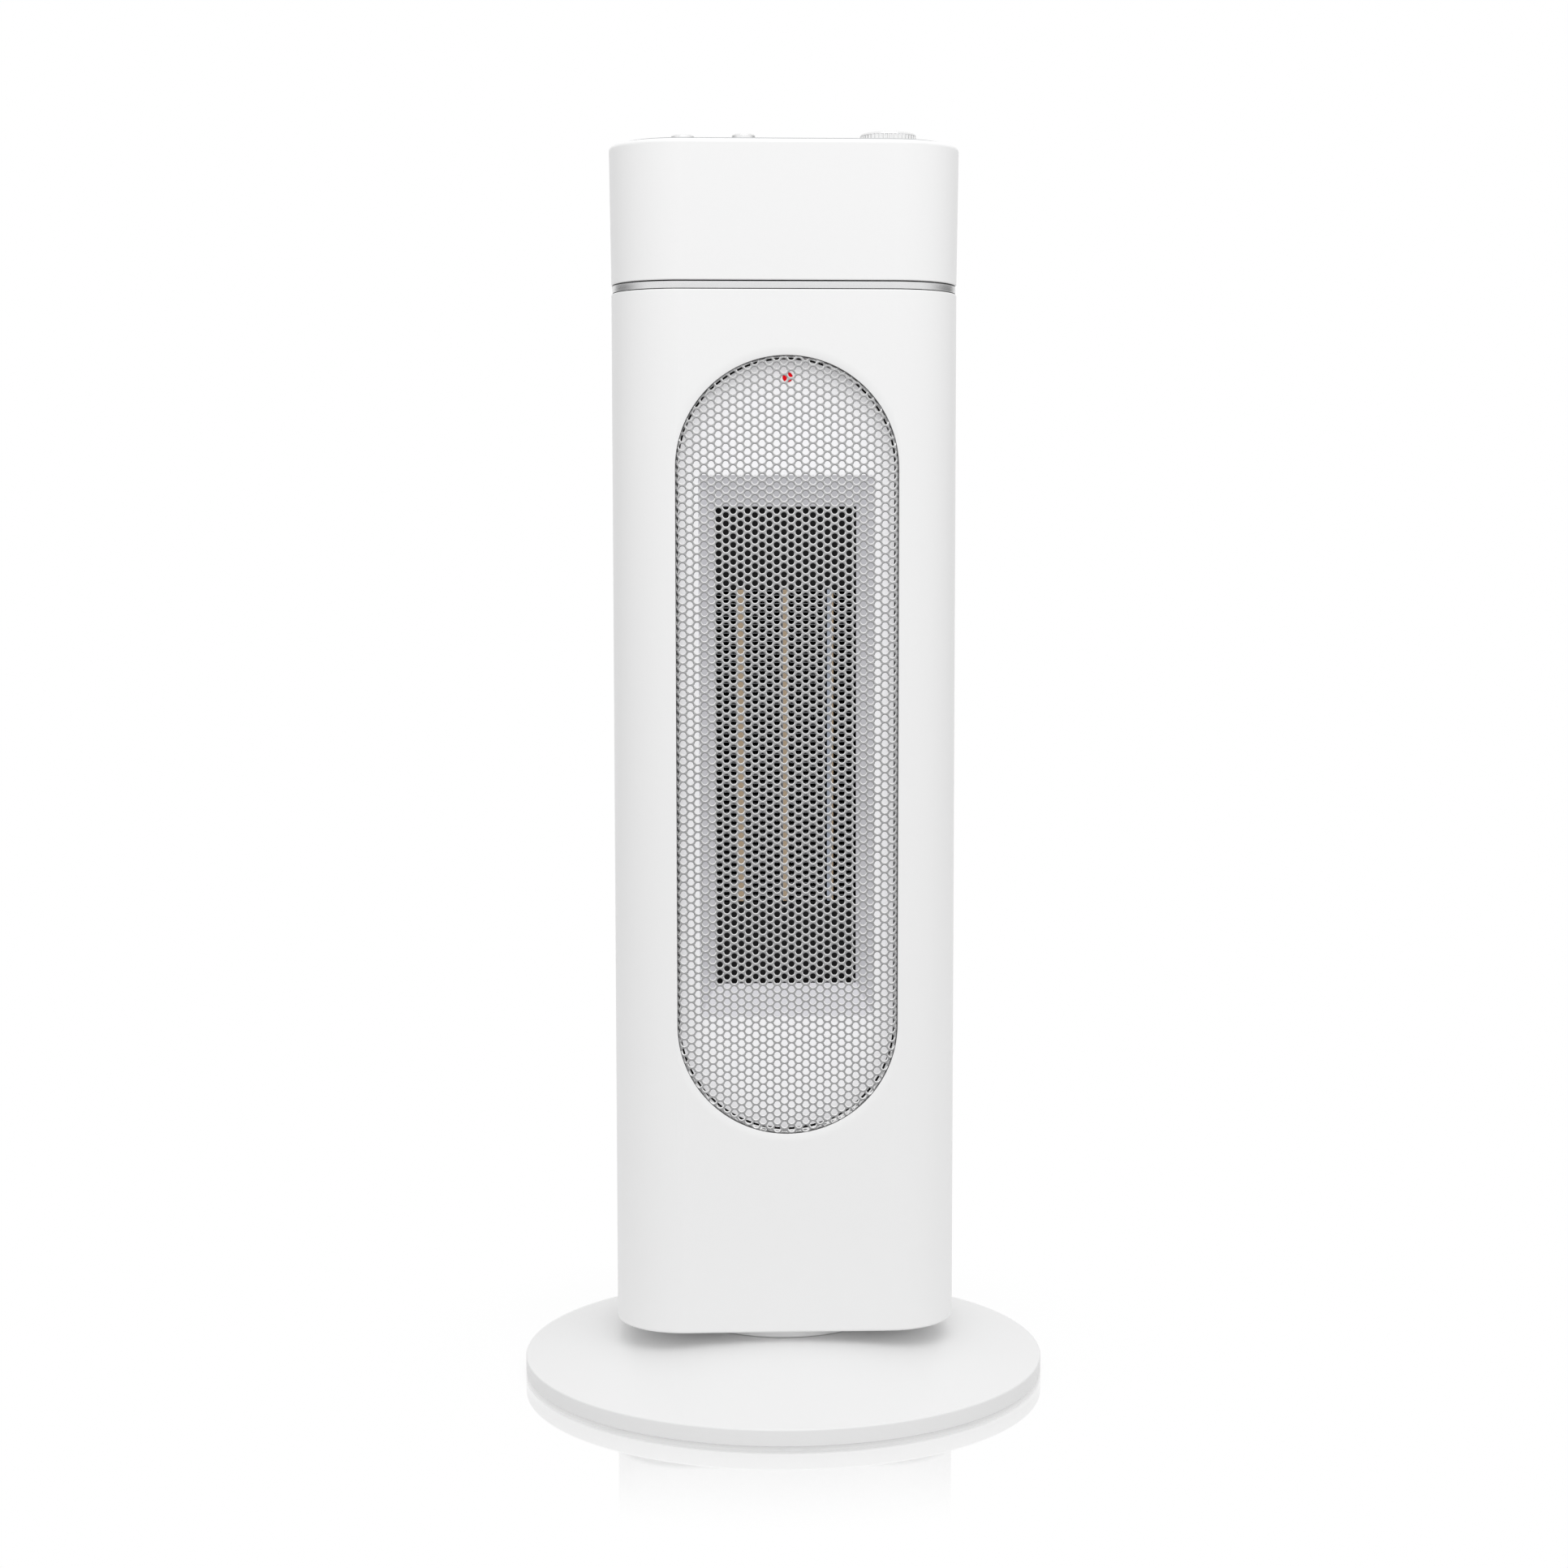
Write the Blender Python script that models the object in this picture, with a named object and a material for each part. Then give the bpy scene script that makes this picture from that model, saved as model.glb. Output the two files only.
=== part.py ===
"""Tower heater on a round base: a swinging tower with a perforated outlet grille, a ceramic heating
element, a cross-flow fan, a thermostat knob and two push buttons. Metres, +Z up, the front faces -Y,
and the origin is on the floor under the swivel axis."""

import math

import bmesh
import bpy

# Fits and cutters
GAP = 0.0003  # between two pieces that touch
OVERRUN = 0.002  # how far a cutter runs past the faces that it cuts

# Base
BASE_RADIUS = 0.128
BASE_WALL = 0.0025
RIM_HEIGHT = 0.007
RIM_FILLET = 0.003
DOME_RISE = 0.022
SEAT_RADIUS = 0.048  # flat round seat of the turntable disc
WELL_RADIUS = 0.043  # opening in that seat
PAN_THICKNESS = 0.003
WEIGHT_WIDTH = 0.041  # from its bore to its edge
WEIGHT_INSET = 0.032  # from the base's edge to the weight's
WEIGHT_THICKNESS = 0.008
FOOT_COUNT = 8
FOOT_RADIUS = 0.007
FOOT_HEIGHT = 0.0018
FOOT_INSET = 0.011  # from the base's edge to a foot's centre
SCREW_COUNT = 4
SCREW_INSET = 0.022  # from the base's edge to a screw's centre
SCREW_RADIUS = 0.0018
SCREW_LENGTH = 0.008
SCREW_HEAD_RADIUS = 0.0038
SCREW_HEAD_HEIGHT = 0.0014
BOSS_RADIUS = 0.0048

# Swivel between the base and the tower
TURNTABLE_RADIUS = 0.0465
TURNTABLE_RIM = 0.0042  # height of the disc's edge that shows under the tower
DISH_RADIUS = 0.040
DISH_DEPTH = 0.0077
DISH_FLOOR = 0.0035
HUB_RADIUS = 0.0125
HUB_BORE_RADIUS = 0.009
WASHER_RADIUS = 0.018
WASHER_THICKNESS = 0.001
RETAINER_RADIUS = 0.0175
RETAINER_THICKNESS = 0.0035
SWING_ANGLE = math.radians(35)
CRANK_ANGLE = math.radians(105)  # the crank turns three times as far as the tower swings
MOTOR_OFFSET = 0.022  # from the swivel axis back to the crank's axis
CRANK_PIN_RADIUS = 0.002
CRANK_ARM_RADIUS = 0.0045
CRANK_ARM_THICKNESS = 0.004
CRANK_SHAFT_RADIUS = 0.003
CRANK_CLEARANCE = 0.0012  # round the pin in its slot, and over the crank's arm
SWING_MOTOR_RADIUS = 0.020
SWING_MOTOR_HEIGHT = 0.017
SWING_MOTOR_BORE = 0.0062

# Tower casing
BODY_WIDTH = 0.164
BODY_DEPTH = 0.108
BODY_BOTTOM = 0.0325
CORNER_RADIUS = 0.033
CASING_WALL = 0.0026
CASING_HEIGHT = 0.4946
CASING_SPLIT = 0.012  # the seam between the front and the rear housing
CASING_FILLET = 0.0012
BOTTOM_PLATE_THICKNESS = 0.003
TIP_SWITCH_SIZE = 0.022
TIP_SWITCH_INSET = 0.034  # from the casing's side to its centre
LOUVRE_COLUMNS = 2
LOUVRE_SIDE_MARGIN = 0.037  # from the casing's side to the first column
LOUVRE_HEIGHT = 0.005
LOUVRE_PITCH = 0.0133
LOUVRE_MARGIN = 0.0285  # from the louvres' span to the outlet window's
LOUVRE_BRIDGE = 0.006  # between the columns
GRIP_DROP = 0.0301  # from the casing's top to the rear finger recess's centre
GRIP_SIDE_MARGIN = 0.038
GRIP_OPENING = 0.026
GRIP_DEPTH = 0.022
GRIP_WALL = 0.002
GRIP_CORNER = 0.006
GLAND_HEIGHT = 0.052  # of its centre above the floor
GLAND_INSET = 0.052  # from the casing's side
GLAND_RADIUS = 0.0058
GLAND_FLANGE_RADIUS = 0.0085
GLAND_FLANGE_THICKNESS = 0.0018
GLAND_BORE_RADIUS = 0.0036
GLAND_TAIL = 0.004

# Band and head
BAND_HEIGHT = 0.0036
BAND_INSET = 0.0005
BAND_SPIGOT_HEIGHT = 0.005
BAND_SPIGOT_WALL = 0.002
HEAD_HEIGHT = 0.0645
HEAD_FLARE = 0.0008
HEAD_FILLET = 0.003
HEAD_RIM = 0.0042
LEDGE_WIDTH = 0.0028
LEDGE_THICKNESS = 0.0024
PANEL_THICKNESS = 0.0025
PANEL_PROUD = 0.0008
PANEL_CHAMFER = 0.0005

# Controls
KNOB_INSET = 0.031  # from the casing's side to the knob's axis
KNOB_RADIUS = 0.0135
KNOB_HEIGHT = 0.0088
KNOB_SHOULDER = 0.0018
KNOB_CAP_RADIUS = 0.0085
KNOB_DISH = 0.0006
RIB_COUNT = 22
RIB_DEPTH = 0.0006
KNOB_CLEARANCE = 0.0005
SHAFT_RADIUS = 0.003
SHAFT_IN_KNOB = 0.0055
SHAFT_IN_THERMOSTAT = 0.010
THERMOSTAT_WIDTH = 0.030
THERMOSTAT_DEPTH = 0.026
BUTTON_RADIUS = 0.0057
BUTTON_INSETS = (0.0342, 0.0634)  # from the casing's other side to the buttons' axes
BUTTON_HEIGHTS = (0.0080, 0.0086)  # of the two button tops above the panel
BUTTON_DOME = 0.0016
BUTTON_TRAVEL = 0.003
BUTTON_DEPTH = 0.0048  # of the cap's lower part below the panel's underside
STEM_RADIUS = 0.0025
STEM_LENGTH = 0.006
SWITCH_WIDTH = 0.016
SWITCH_DEPTH = 0.014
SWITCH_HEIGHT = 0.0132
CARRIER_THICKNESS = 0.0015
CARRIER_MARGIN = 0.010  # from the casing's side to the carrier's
CARRIER_DEPTH = 0.034
CARRIER_CORNER = 0.004
POST_RADIUS = 0.003
POST_INSETS = (0.016, 0.012)  # of the outer posts from the casing's two sides
POST_SHARES = (0.50685, 0.48276)  # of the way from each button to the next control

# Outlet grille and the plate behind it
GRILLE_WIDTH = 0.104
GRILLE_TOP_MARGIN = 0.0306  # from the casing's top to the grille's
GRILLE_BOTTOM_MARGIN = 0.097  # from the casing's bottom to the grille's
GRILLE_RIM = 0.0016  # radius of the turned edge
GRILLE_SHEET = 0.001
GRILLE_SKIRT = 0.0055
GRILLE_BORDER = 0.006  # from the outline to the nearest hole
GRILLE_RECESS = 0.0006
GRILLE_PITCH = 0.0148
GRILLE_HOLE_SHARE = 0.80
GRILLE_HOLE_SIDES = 6
LIP_RADIUS = 0.004
COLLAR_WALL = 0.002
BACKPLATE_THICKNESS = 0.002
FUNNEL_SIDE_MARGIN = 0.0105  # from the grille's edge to the funnel's
FUNNEL_END_MARGIN = 0.055
FUNNEL_WALL = 0.0016
FUNNEL_DEPTH = 0.010
FUNNEL_SIDE_SLOPE = 0.008  # how far its sides come in down to the window
FUNNEL_END_SLOPE = 0.0145
LAMP_DROP = 0.0102  # from the grille's top to the lamp's centre
LAMP_RADIUS = 0.0024
LAMP_LENGTH = 0.016
LAMP_PROUD = 0.0012
LAMP_HOLDER_RADIUS = 0.006
LAMP_HOLDER_LENGTH = 0.009

# Heating element
FRAME_WALL = 0.005
FRAME_DEPTH = 0.018
FRAME_RECESS = 0.0034
HEATER_MARGIN = 0.039  # from the window's end to the element's
BAR_COUNT = 3
BAR_INSET = 0.0121  # from the window's side to the outer bar's centre
BAR_WIDTH = 0.003
BAR_DEPTH = 0.012
FIN_PITCH = 0.0083
FIN_FOLD = 0.0014  # across the sheet at a fold, which is far thinner along its slope
CUTOUT_RADIUS = 0.008
CUTOUT_HEIGHT = 0.007
CUTOUT_OFFSET = 0.018

# Fan
FAN_OFFSET_X = 0.004
FAN_OFFSET_Y = 0.014
IMPELLER_RADIUS = 0.025
IMPELLER_EXCESS = 0.005  # past the element at each end
IMPELLER_CLEARANCE = 0.002
DISC_THICKNESS = 0.0016
BLADE_COUNT = 14
BLADE_DEPTH = 0.0048
BLADE_THICKNESS = 0.0009
BLADE_MARGIN = 0.0004
BLADE_SWEEP = math.radians(16)
FAN_SHAFT_RADIUS = 0.0025
FAN_SHAFT_IN_MOTOR = 0.012
FAN_MOTOR_RADIUS = 0.022
FAN_MOTOR_HEIGHT = 0.040
FAN_MOTOR_NECK_RADIUS = 0.012
FAN_MOTOR_NECK = 0.004
BEARING_RADIUS = 0.008
BEARING_HEIGHT = 0.008
END_PLATE_THICKNESS = 0.0024
END_PLATE_WIDTH = 0.092
END_PLATE_CORNER = 0.012
DUCT_WALL = 0.0016
SCROLL_START = math.radians(120)
SCROLL_CLEARANCE = 0.0028
TONGUE_CLEARANCE = 0.0035
TONGUE_CURL = 0.008

# Rounding steps
ROUND_STEPS = 40
MIDDLE_STEPS = 24
SMALL_STEPS = 12
SCREW_STEPS = 8
CORNER_STEPS = 6
STADIUM_STEPS = 14
FILLET_STEPS = 2
SHARP_ANGLE = math.radians(32)

# Levels and places that follow from the sizes above
WEIGHT_OUTER_RADIUS = BASE_RADIUS - WEIGHT_INSET
WEIGHT_INNER_RADIUS = WEIGHT_OUTER_RADIUS - WEIGHT_WIDTH
SCREW_CIRCLE = BASE_RADIUS - SCREW_INSET
CASING_TOP = BODY_BOTTOM + CASING_HEIGHT
GRIP_HEIGHT = CASING_TOP - GRIP_DROP
GRILLE_LENGTH = CASING_HEIGHT - GRILLE_TOP_MARGIN - GRILLE_BOTTOM_MARGIN
OUTLET_HEIGHT = BODY_BOTTOM + GRILLE_BOTTOM_MARGIN + GRILLE_LENGTH / 2
FUNNEL_WIDTH = GRILLE_WIDTH - 2 * FUNNEL_SIDE_MARGIN
FUNNEL_LENGTH = GRILLE_LENGTH - 2 * FUNNEL_END_MARGIN
WINDOW_WIDTH = FUNNEL_WIDTH - 2 * FUNNEL_SIDE_SLOPE
WINDOW_LENGTH = FUNNEL_LENGTH - 2 * FUNNEL_END_SLOPE
HEATER_LENGTH = WINDOW_LENGTH - 2 * HEATER_MARGIN
BAR_SPACING = (WINDOW_WIDTH - 2 * BAR_INSET) / (BAR_COUNT - 1)
IMPELLER_LENGTH = HEATER_LENGTH + 2 * IMPELLER_EXCESS
LAMP_HEIGHT = OUTLET_HEIGHT + GRILLE_LENGTH / 2 - LAMP_DROP
LOUVRE_ROWS = round((WINDOW_LENGTH - LOUVRE_MARGIN) / LOUVRE_PITCH)
RIM_BOTTOM = FOOT_HEIGHT
PAN_BOTTOM = FOOT_HEIGHT + GAP
PAN_TOP = PAN_BOTTOM + PAN_THICKNESS
RIM_TOP = RIM_BOTTOM + RIM_HEIGHT
DOME_SLOPE = math.atan(2 * DOME_RISE / BASE_RADIUS)
DOME_EDGE = BASE_RADIUS - RIM_FILLET * (1 - math.sin(DOME_SLOPE))
HALF_WIDTH = BODY_WIDTH / 2
HALF_DEPTH = BODY_DEPTH / 2
FRONT = -HALF_DEPTH
TIP_SWITCH_OFFSET = HALF_WIDTH - TIP_SWITCH_INSET
LOUVRE_WIDTH = (BODY_WIDTH - 2 * LOUVRE_SIDE_MARGIN + LOUVRE_BRIDGE) / LOUVRE_COLUMNS - LOUVRE_BRIDGE
LOUVRE_SPREAD = LOUVRE_WIDTH + LOUVRE_BRIDGE
GRIP_WIDTH = BODY_WIDTH - 2 * GRIP_SIDE_MARGIN
GLAND_OFFSET = HALF_WIDTH - GLAND_INSET
KNOB_OFFSET = HALF_WIDTH - KNOB_INSET
BUTTON_OFFSETS = tuple(inset - HALF_WIDTH for inset in BUTTON_INSETS)
CARRIER_WIDTH = BODY_WIDTH - 2 * CARRIER_MARGIN
POST_OFFSETS = (
    POST_INSETS[0] - HALF_WIDTH,
    BUTTON_OFFSETS[0] + POST_SHARES[0] * (BUTTON_OFFSETS[1] - BUTTON_OFFSETS[0]),
    BUTTON_OFFSETS[1] + POST_SHARES[1] * (KNOB_OFFSET - BUTTON_OFFSETS[1]),
    HALF_WIDTH - POST_INSETS[1],
)
TURNTABLE_TOP = BODY_BOTTOM - GAP
TURNTABLE_UNDERSIDE = TURNTABLE_TOP - TURNTABLE_RIM
DISH_TOP = TURNTABLE_TOP - DISH_DEPTH
DISH_UNDERSIDE = DISH_TOP - DISH_FLOOR
CRANK_REACH = MOTOR_OFFSET * math.sin(SWING_ANGLE)
CRANK_ARM_TOP = TURNTABLE_TOP - CRANK_CLEARANCE
PLATE_TOP = BODY_BOTTOM + BOTTOM_PLATE_THICKNESS
HUB_BOTTOM = DISH_UNDERSIDE - WASHER_THICKNESS - RETAINER_THICKNESS - 3 * GAP
BAND_BOTTOM = CASING_TOP + GAP
BAND_TOP = BAND_BOTTOM + BAND_HEIGHT
HEAD_BOTTOM = BAND_TOP + GAP
HEAD_TOP = HEAD_BOTTOM + HEAD_HEIGHT
PANEL_TOP = HEAD_TOP + PANEL_PROUD
PANEL_BOTTOM = PANEL_TOP - PANEL_THICKNESS
LEDGE_TOP = PANEL_BOTTOM - GAP
BUTTON_BOTTOM = PANEL_BOTTOM - BUTTON_DEPTH
SWITCH_TOP = BUTTON_BOTTOM - BUTTON_TRAVEL - GAP
SWITCH_BOTTOM = SWITCH_TOP - SWITCH_HEIGHT
CARRIER_TOP = SWITCH_BOTTOM - GAP
CARRIER_BOTTOM = CARRIER_TOP - CARRIER_THICKNESS
GRILLE_FRONT = FRONT + GRILLE_RECESS
GRILLE_BACK = GRILLE_FRONT + GRILLE_RIM + GRILLE_SKIRT
BACKPLATE_FRONT = GRILLE_BACK + GAP
BACKPLATE_BACK = BACKPLATE_FRONT + BACKPLATE_THICKNESS
COLLAR_BACK = BACKPLATE_BACK + GAP
FUNNEL_BACK = BACKPLATE_FRONT + FUNNEL_DEPTH
FRAME_FRONT = FUNNEL_BACK + GAP
FRAME_BACK = FRAME_FRONT + FRAME_DEPTH
HEATER_FRONT = FRAME_FRONT + FRAME_RECESS
FAN_BOTTOM = OUTLET_HEIGHT - IMPELLER_LENGTH / 2
FAN_TOP = OUTLET_HEIGHT + IMPELLER_LENGTH / 2
DUCT_BOTTOM = FAN_BOTTOM - IMPELLER_CLEARANCE
DUCT_TOP = FAN_TOP + IMPELLER_CLEARANCE
DUCT_FRONT = FRAME_BACK + GAP
DUCT_HALF_WIDTH = WINDOW_WIDTH / 2 + DUCT_WALL
FAN_MOTOR_BOTTOM = DUCT_TOP + END_PLATE_THICKNESS + GAP
BEARING_TOP = DUCT_BOTTOM - END_PLATE_THICKNESS - GAP
BEARING_BOTTOM = BEARING_TOP - BEARING_HEIGHT


def clear_scene():
    for thing in list(bpy.data.objects):
        bpy.data.objects.remove(thing)


def make_material(name, colour, roughness, metallic=0.0):
    material = bpy.data.materials.new(name)
    material.use_nodes = True
    shader = material.node_tree.nodes["Principled BSDF"]
    shader.inputs["Base Color"].default_value = (*colour, 1.0)
    shader.inputs["Roughness"].default_value = roughness
    shader.inputs["Metallic"].default_value = metallic
    return material


def make_frame(name):
    """An empty at the origin, which is on the swivel axis."""
    frame = bpy.data.objects.new(name, None)
    bpy.context.collection.objects.link(frame)
    return frame


def make_piece(name, shape, material, frame, place=(0, 0, 0)):
    """Turns a bmesh into a named object with its faces pointing out and its round sides smooth."""
    bmesh.ops.recalc_face_normals(shape, faces=shape.faces)
    if shape.calc_volume(signed=True) < 0:
        bmesh.ops.reverse_faces(shape, faces=shape.faces)
    mesh = bpy.data.meshes.new(name)
    shape.to_mesh(mesh)
    shape.free()
    mesh.shade_smooth()
    mesh.set_sharp_from_angle(angle=SHARP_ANGLE)
    mesh.materials.append(material)
    piece = bpy.data.objects.new(name, mesh)
    piece.location = place
    piece.parent = frame
    bpy.context.collection.objects.link(piece)
    return piece


def make_tool(name, shape):
    """A cutter or an added body: it is never part of the result by itself."""
    tool = make_piece(name, shape, bpy.data.materials[0], None)
    tool.hide_render = True
    tool.display_type = "WIRE"
    return tool


def combine(piece, tool, operation):
    modifier = piece.modifiers.new(tool.name, "BOOLEAN")
    modifier.operation = operation
    modifier.solver = "EXACT"
    modifier.object = tool
    tool.parent = piece.parent
    tool.location = piece.location


def cut(piece, shape, label):
    combine(piece, make_tool(f"{piece.name}_{label}_cutter", shape), "DIFFERENCE")


def add(piece, shape, label):
    combine(piece, make_tool(f"{piece.name}_{label}_body", shape), "UNION")


def skin(shape, rings, closed=False):
    """Joins rings of equally many points. A closed skin runs on from the last ring to the first."""
    loops = [[shape.verts.new(point) for point in ring] for ring in rings]
    pairs = list(zip(loops, loops[1:]))
    if closed:
        pairs.append((loops[-1], loops[0]))
    else:
        shape.faces.new(loops[0])
        shape.faces.new(loops[-1])
    for lower, upper in pairs:
        for here in range(len(lower)):
            there = (here + 1) % len(lower)
            shape.faces.new((lower[here], lower[there], upper[there], upper[here]))
    return shape


def lofted(rings, closed=False):
    return skin(bmesh.new(), rings, closed)


def turn(shape, profile, steps, centre=(0, 0), ring=False):
    """Spins a profile of (radius, height) round an upright axis. It ends on the axis unless it is a ring."""
    points = [shape.verts.new((centre[0] + radius, centre[1], height)) for radius, height in profile]
    pairs = list(zip(points, points[1:]))
    if ring:
        pairs.append((points[-1], points[0]))
    edges = [shape.edges.new(pair) for pair in pairs]
    bmesh.ops.spin(
        shape,
        geom=points + edges,
        cent=(*centre, 0),
        axis=(0, 0, 1),
        angle=2 * math.pi,
        steps=steps,
        use_merge=True,
    )
    bmesh.ops.remove_doubles(shape, verts=shape.verts, dist=GAP / 100)
    return shape


def turned(profile, steps=ROUND_STEPS, ring=False):
    return turn(bmesh.new(), profile, steps, ring=ring)


def arc(centre, radius, start, end, steps):
    """Points of an arc as (across, up)."""
    return [
        (
            centre[0] + radius * math.cos(start + (end - start) * step / steps),
            centre[1] + radius * math.sin(start + (end - start) * step / steps),
        )
        for step in range(steps + 1)
    ]


def circle(radius, steps, centre=(0, 0)):
    return arc(centre, radius, 0, 2 * math.pi, steps)[:-1]


def rounded_outline(half_x, half_y, radius, steps=CORNER_STEPS):
    """A rectangle with round corners."""
    points = []
    for quarter, (side_x, side_y) in enumerate(((1, 1), (-1, 1), (-1, -1), (1, -1))):
        centre = (side_x * (half_x - radius), side_y * (half_y - radius))
        start = quarter * math.pi / 2
        points += arc(centre, radius, start, start + math.pi / 2, steps)
    return points


def stadium_outline(half_width, half_length):
    """Two straight sides joined by half circles, upright."""
    straight = half_length - half_width
    upper = arc((0, straight), half_width, 0, math.pi, STADIUM_STEPS)
    lower = arc((0, -straight), half_width, math.pi, 2 * math.pi, STADIUM_STEPS)
    return upper + lower


def rectangle(half_x, half_y):
    return [(half_x, half_y), (-half_x, half_y), (-half_x, -half_y), (half_x, -half_y)]


def ribbon(line, thickness):
    """The outline of a sheet bent along a line of points."""
    left, right = [], []
    for index, (x, y) in enumerate(line):
        before = line[max(index - 1, 0)]
        after = line[min(index + 1, len(line) - 1)]
        run = math.dist(before, after)
        across = ((before[1] - after[1]) / run, (after[0] - before[0]) / run)
        left.append((x + across[0] * thickness / 2, y + across[1] * thickness / 2))
        right.append((x - across[0] * thickness / 2, y - across[1] * thickness / 2))
    return left + right[::-1]


def level(outline, height, centre=(0, 0)):
    """An outline lying flat at a height."""
    return [(centre[0] + x, centre[1] + y, height) for x, y in outline]


def facing(outline, depth, centre=(0, OUTLET_HEIGHT)):
    """An outline standing up, seen from the front."""
    return [(centre[0] + x, depth, centre[1] + y) for x, y in outline]


def upright(shape, outline, bottom, top, centre=(0, 0)):
    return skin(shape, [level(outline, bottom, centre), level(outline, top, centre)])


def through(shape, outline, front, back, centre=(0, OUTLET_HEIGHT)):
    return skin(shape, [facing(outline, front, centre), facing(outline, back, centre)])


def body_outline(inset):
    return rounded_outline(HALF_WIDTH - inset, HALF_DEPTH - inset, CORNER_RADIUS - inset)


def dome_height(radius):
    """Height of the base's top at a radius."""
    edge = RIM_TOP - RIM_FILLET * (1 - math.cos(DOME_SLOPE))
    return edge + DOME_RISE * (1 - (radius / DOME_EDGE) ** 2)


def build_base(frame, white, grey, steel, rubber):
    seat = dome_height(SEAT_RADIUS)
    inner_edge = BASE_RADIUS - BASE_WALL
    rise_shares = (1, 0.8, 0.6, 0.3, 0)
    radii = [SEAT_RADIUS + share * (DOME_EDGE - SEAT_RADIUS) for share in rise_shares]
    inner_radii = [SEAT_RADIUS + share * (inner_edge - SEAT_RADIUS) for share in rise_shares[1::2]]
    fillet_centre = (BASE_RADIUS - RIM_FILLET, RIM_TOP - RIM_FILLET)
    profile = [(BASE_RADIUS, RIM_BOTTOM)]
    profile += arc(fillet_centre, RIM_FILLET, 0, math.pi / 2 - DOME_SLOPE, FILLET_STEPS)
    profile += [(radius, dome_height(radius)) for radius in radii[1:]]
    profile += [(WELL_RADIUS, seat), (WELL_RADIUS, seat - BASE_WALL), (SEAT_RADIUS, seat - BASE_WALL)]
    profile += [(radius, dome_height(radius) - BASE_WALL) for radius in inner_radii[::-1]]
    profile += [(inner_edge, RIM_TOP - BASE_WALL), (inner_edge, RIM_BOTTOM)]
    cover = make_piece("base_cover", turned(profile, ring=True), white, frame)

    bosses, bores = bmesh.new(), bmesh.new()
    boss_top = dome_height(SCREW_CIRCLE) - BASE_WALL / 2
    screw_tip = PAN_TOP + SCREW_LENGTH - PAN_THICKNESS
    pan_outline = circle(inner_edge - GAP, ROUND_STEPS)
    pan = make_piece(
        "base_pan", upright(bmesh.new(), pan_outline, PAN_BOTTOM, PAN_TOP), grey, frame
    )
    pan_holes = bmesh.new()
    head_seat = PAN_BOTTOM + SCREW_HEAD_HEIGHT + GAP
    for number in range(SCREW_COUNT):
        angle = 2 * math.pi * (number + 0.5) / SCREW_COUNT + math.pi / FOOT_COUNT
        centre = (SCREW_CIRCLE * math.cos(angle), SCREW_CIRCLE * math.sin(angle))
        upright(bosses, circle(BOSS_RADIUS, SCREW_STEPS), PAN_TOP + GAP, boss_top, centre)
        bore = circle(SCREW_RADIUS + GAP, SCREW_STEPS)
        upright(bores, bore, PAN_TOP - OVERRUN, screw_tip + GAP, centre)
        turn(
            pan_holes,
            [
                (0, PAN_BOTTOM - OVERRUN),
                (SCREW_HEAD_RADIUS + GAP, PAN_BOTTOM - OVERRUN),
                (SCREW_HEAD_RADIUS + GAP, head_seat),
                (SCREW_RADIUS + GAP, head_seat),
                (SCREW_RADIUS + GAP, PAN_TOP + OVERRUN),
                (0, PAN_TOP + OVERRUN),
            ],
            SCREW_STEPS,
            centre,
        )
        screw = [
            (0, PAN_BOTTOM),
            (SCREW_HEAD_RADIUS, PAN_BOTTOM),
            (SCREW_HEAD_RADIUS, PAN_BOTTOM + SCREW_HEAD_HEIGHT),
            (SCREW_RADIUS, PAN_BOTTOM + SCREW_HEAD_HEIGHT),
            (SCREW_RADIUS, screw_tip),
            (0, screw_tip),
        ]
        make_piece(f"base_screw_{number + 1}", turned(screw, SCREW_STEPS), steel, frame, (*centre, 0))
    add(cover, bosses, "bosses")
    cut(cover, bores, "bores")
    cut(pan, pan_holes, "screw_holes")

    weight = [
        (WEIGHT_INNER_RADIUS, PAN_TOP + GAP),
        (WEIGHT_OUTER_RADIUS, PAN_TOP + GAP),
        (WEIGHT_OUTER_RADIUS, PAN_TOP + GAP + WEIGHT_THICKNESS),
        (WEIGHT_INNER_RADIUS, PAN_TOP + GAP + WEIGHT_THICKNESS),
    ]
    make_piece("base_weight", turned(weight, MIDDLE_STEPS, ring=True), steel, frame)

    foot = [(0, 0), (FOOT_RADIUS, 0), (FOOT_RADIUS, FOOT_HEIGHT), (0, FOOT_HEIGHT)]
    for number in range(FOOT_COUNT):
        angle = 2 * math.pi * number / FOOT_COUNT - math.pi / 2
        reach = BASE_RADIUS - FOOT_INSET
        place = (reach * math.cos(angle), reach * math.sin(angle), 0)
        make_piece(f"foot_{number + 1}", turned(foot, SMALL_STEPS), rubber, frame, place)


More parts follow.
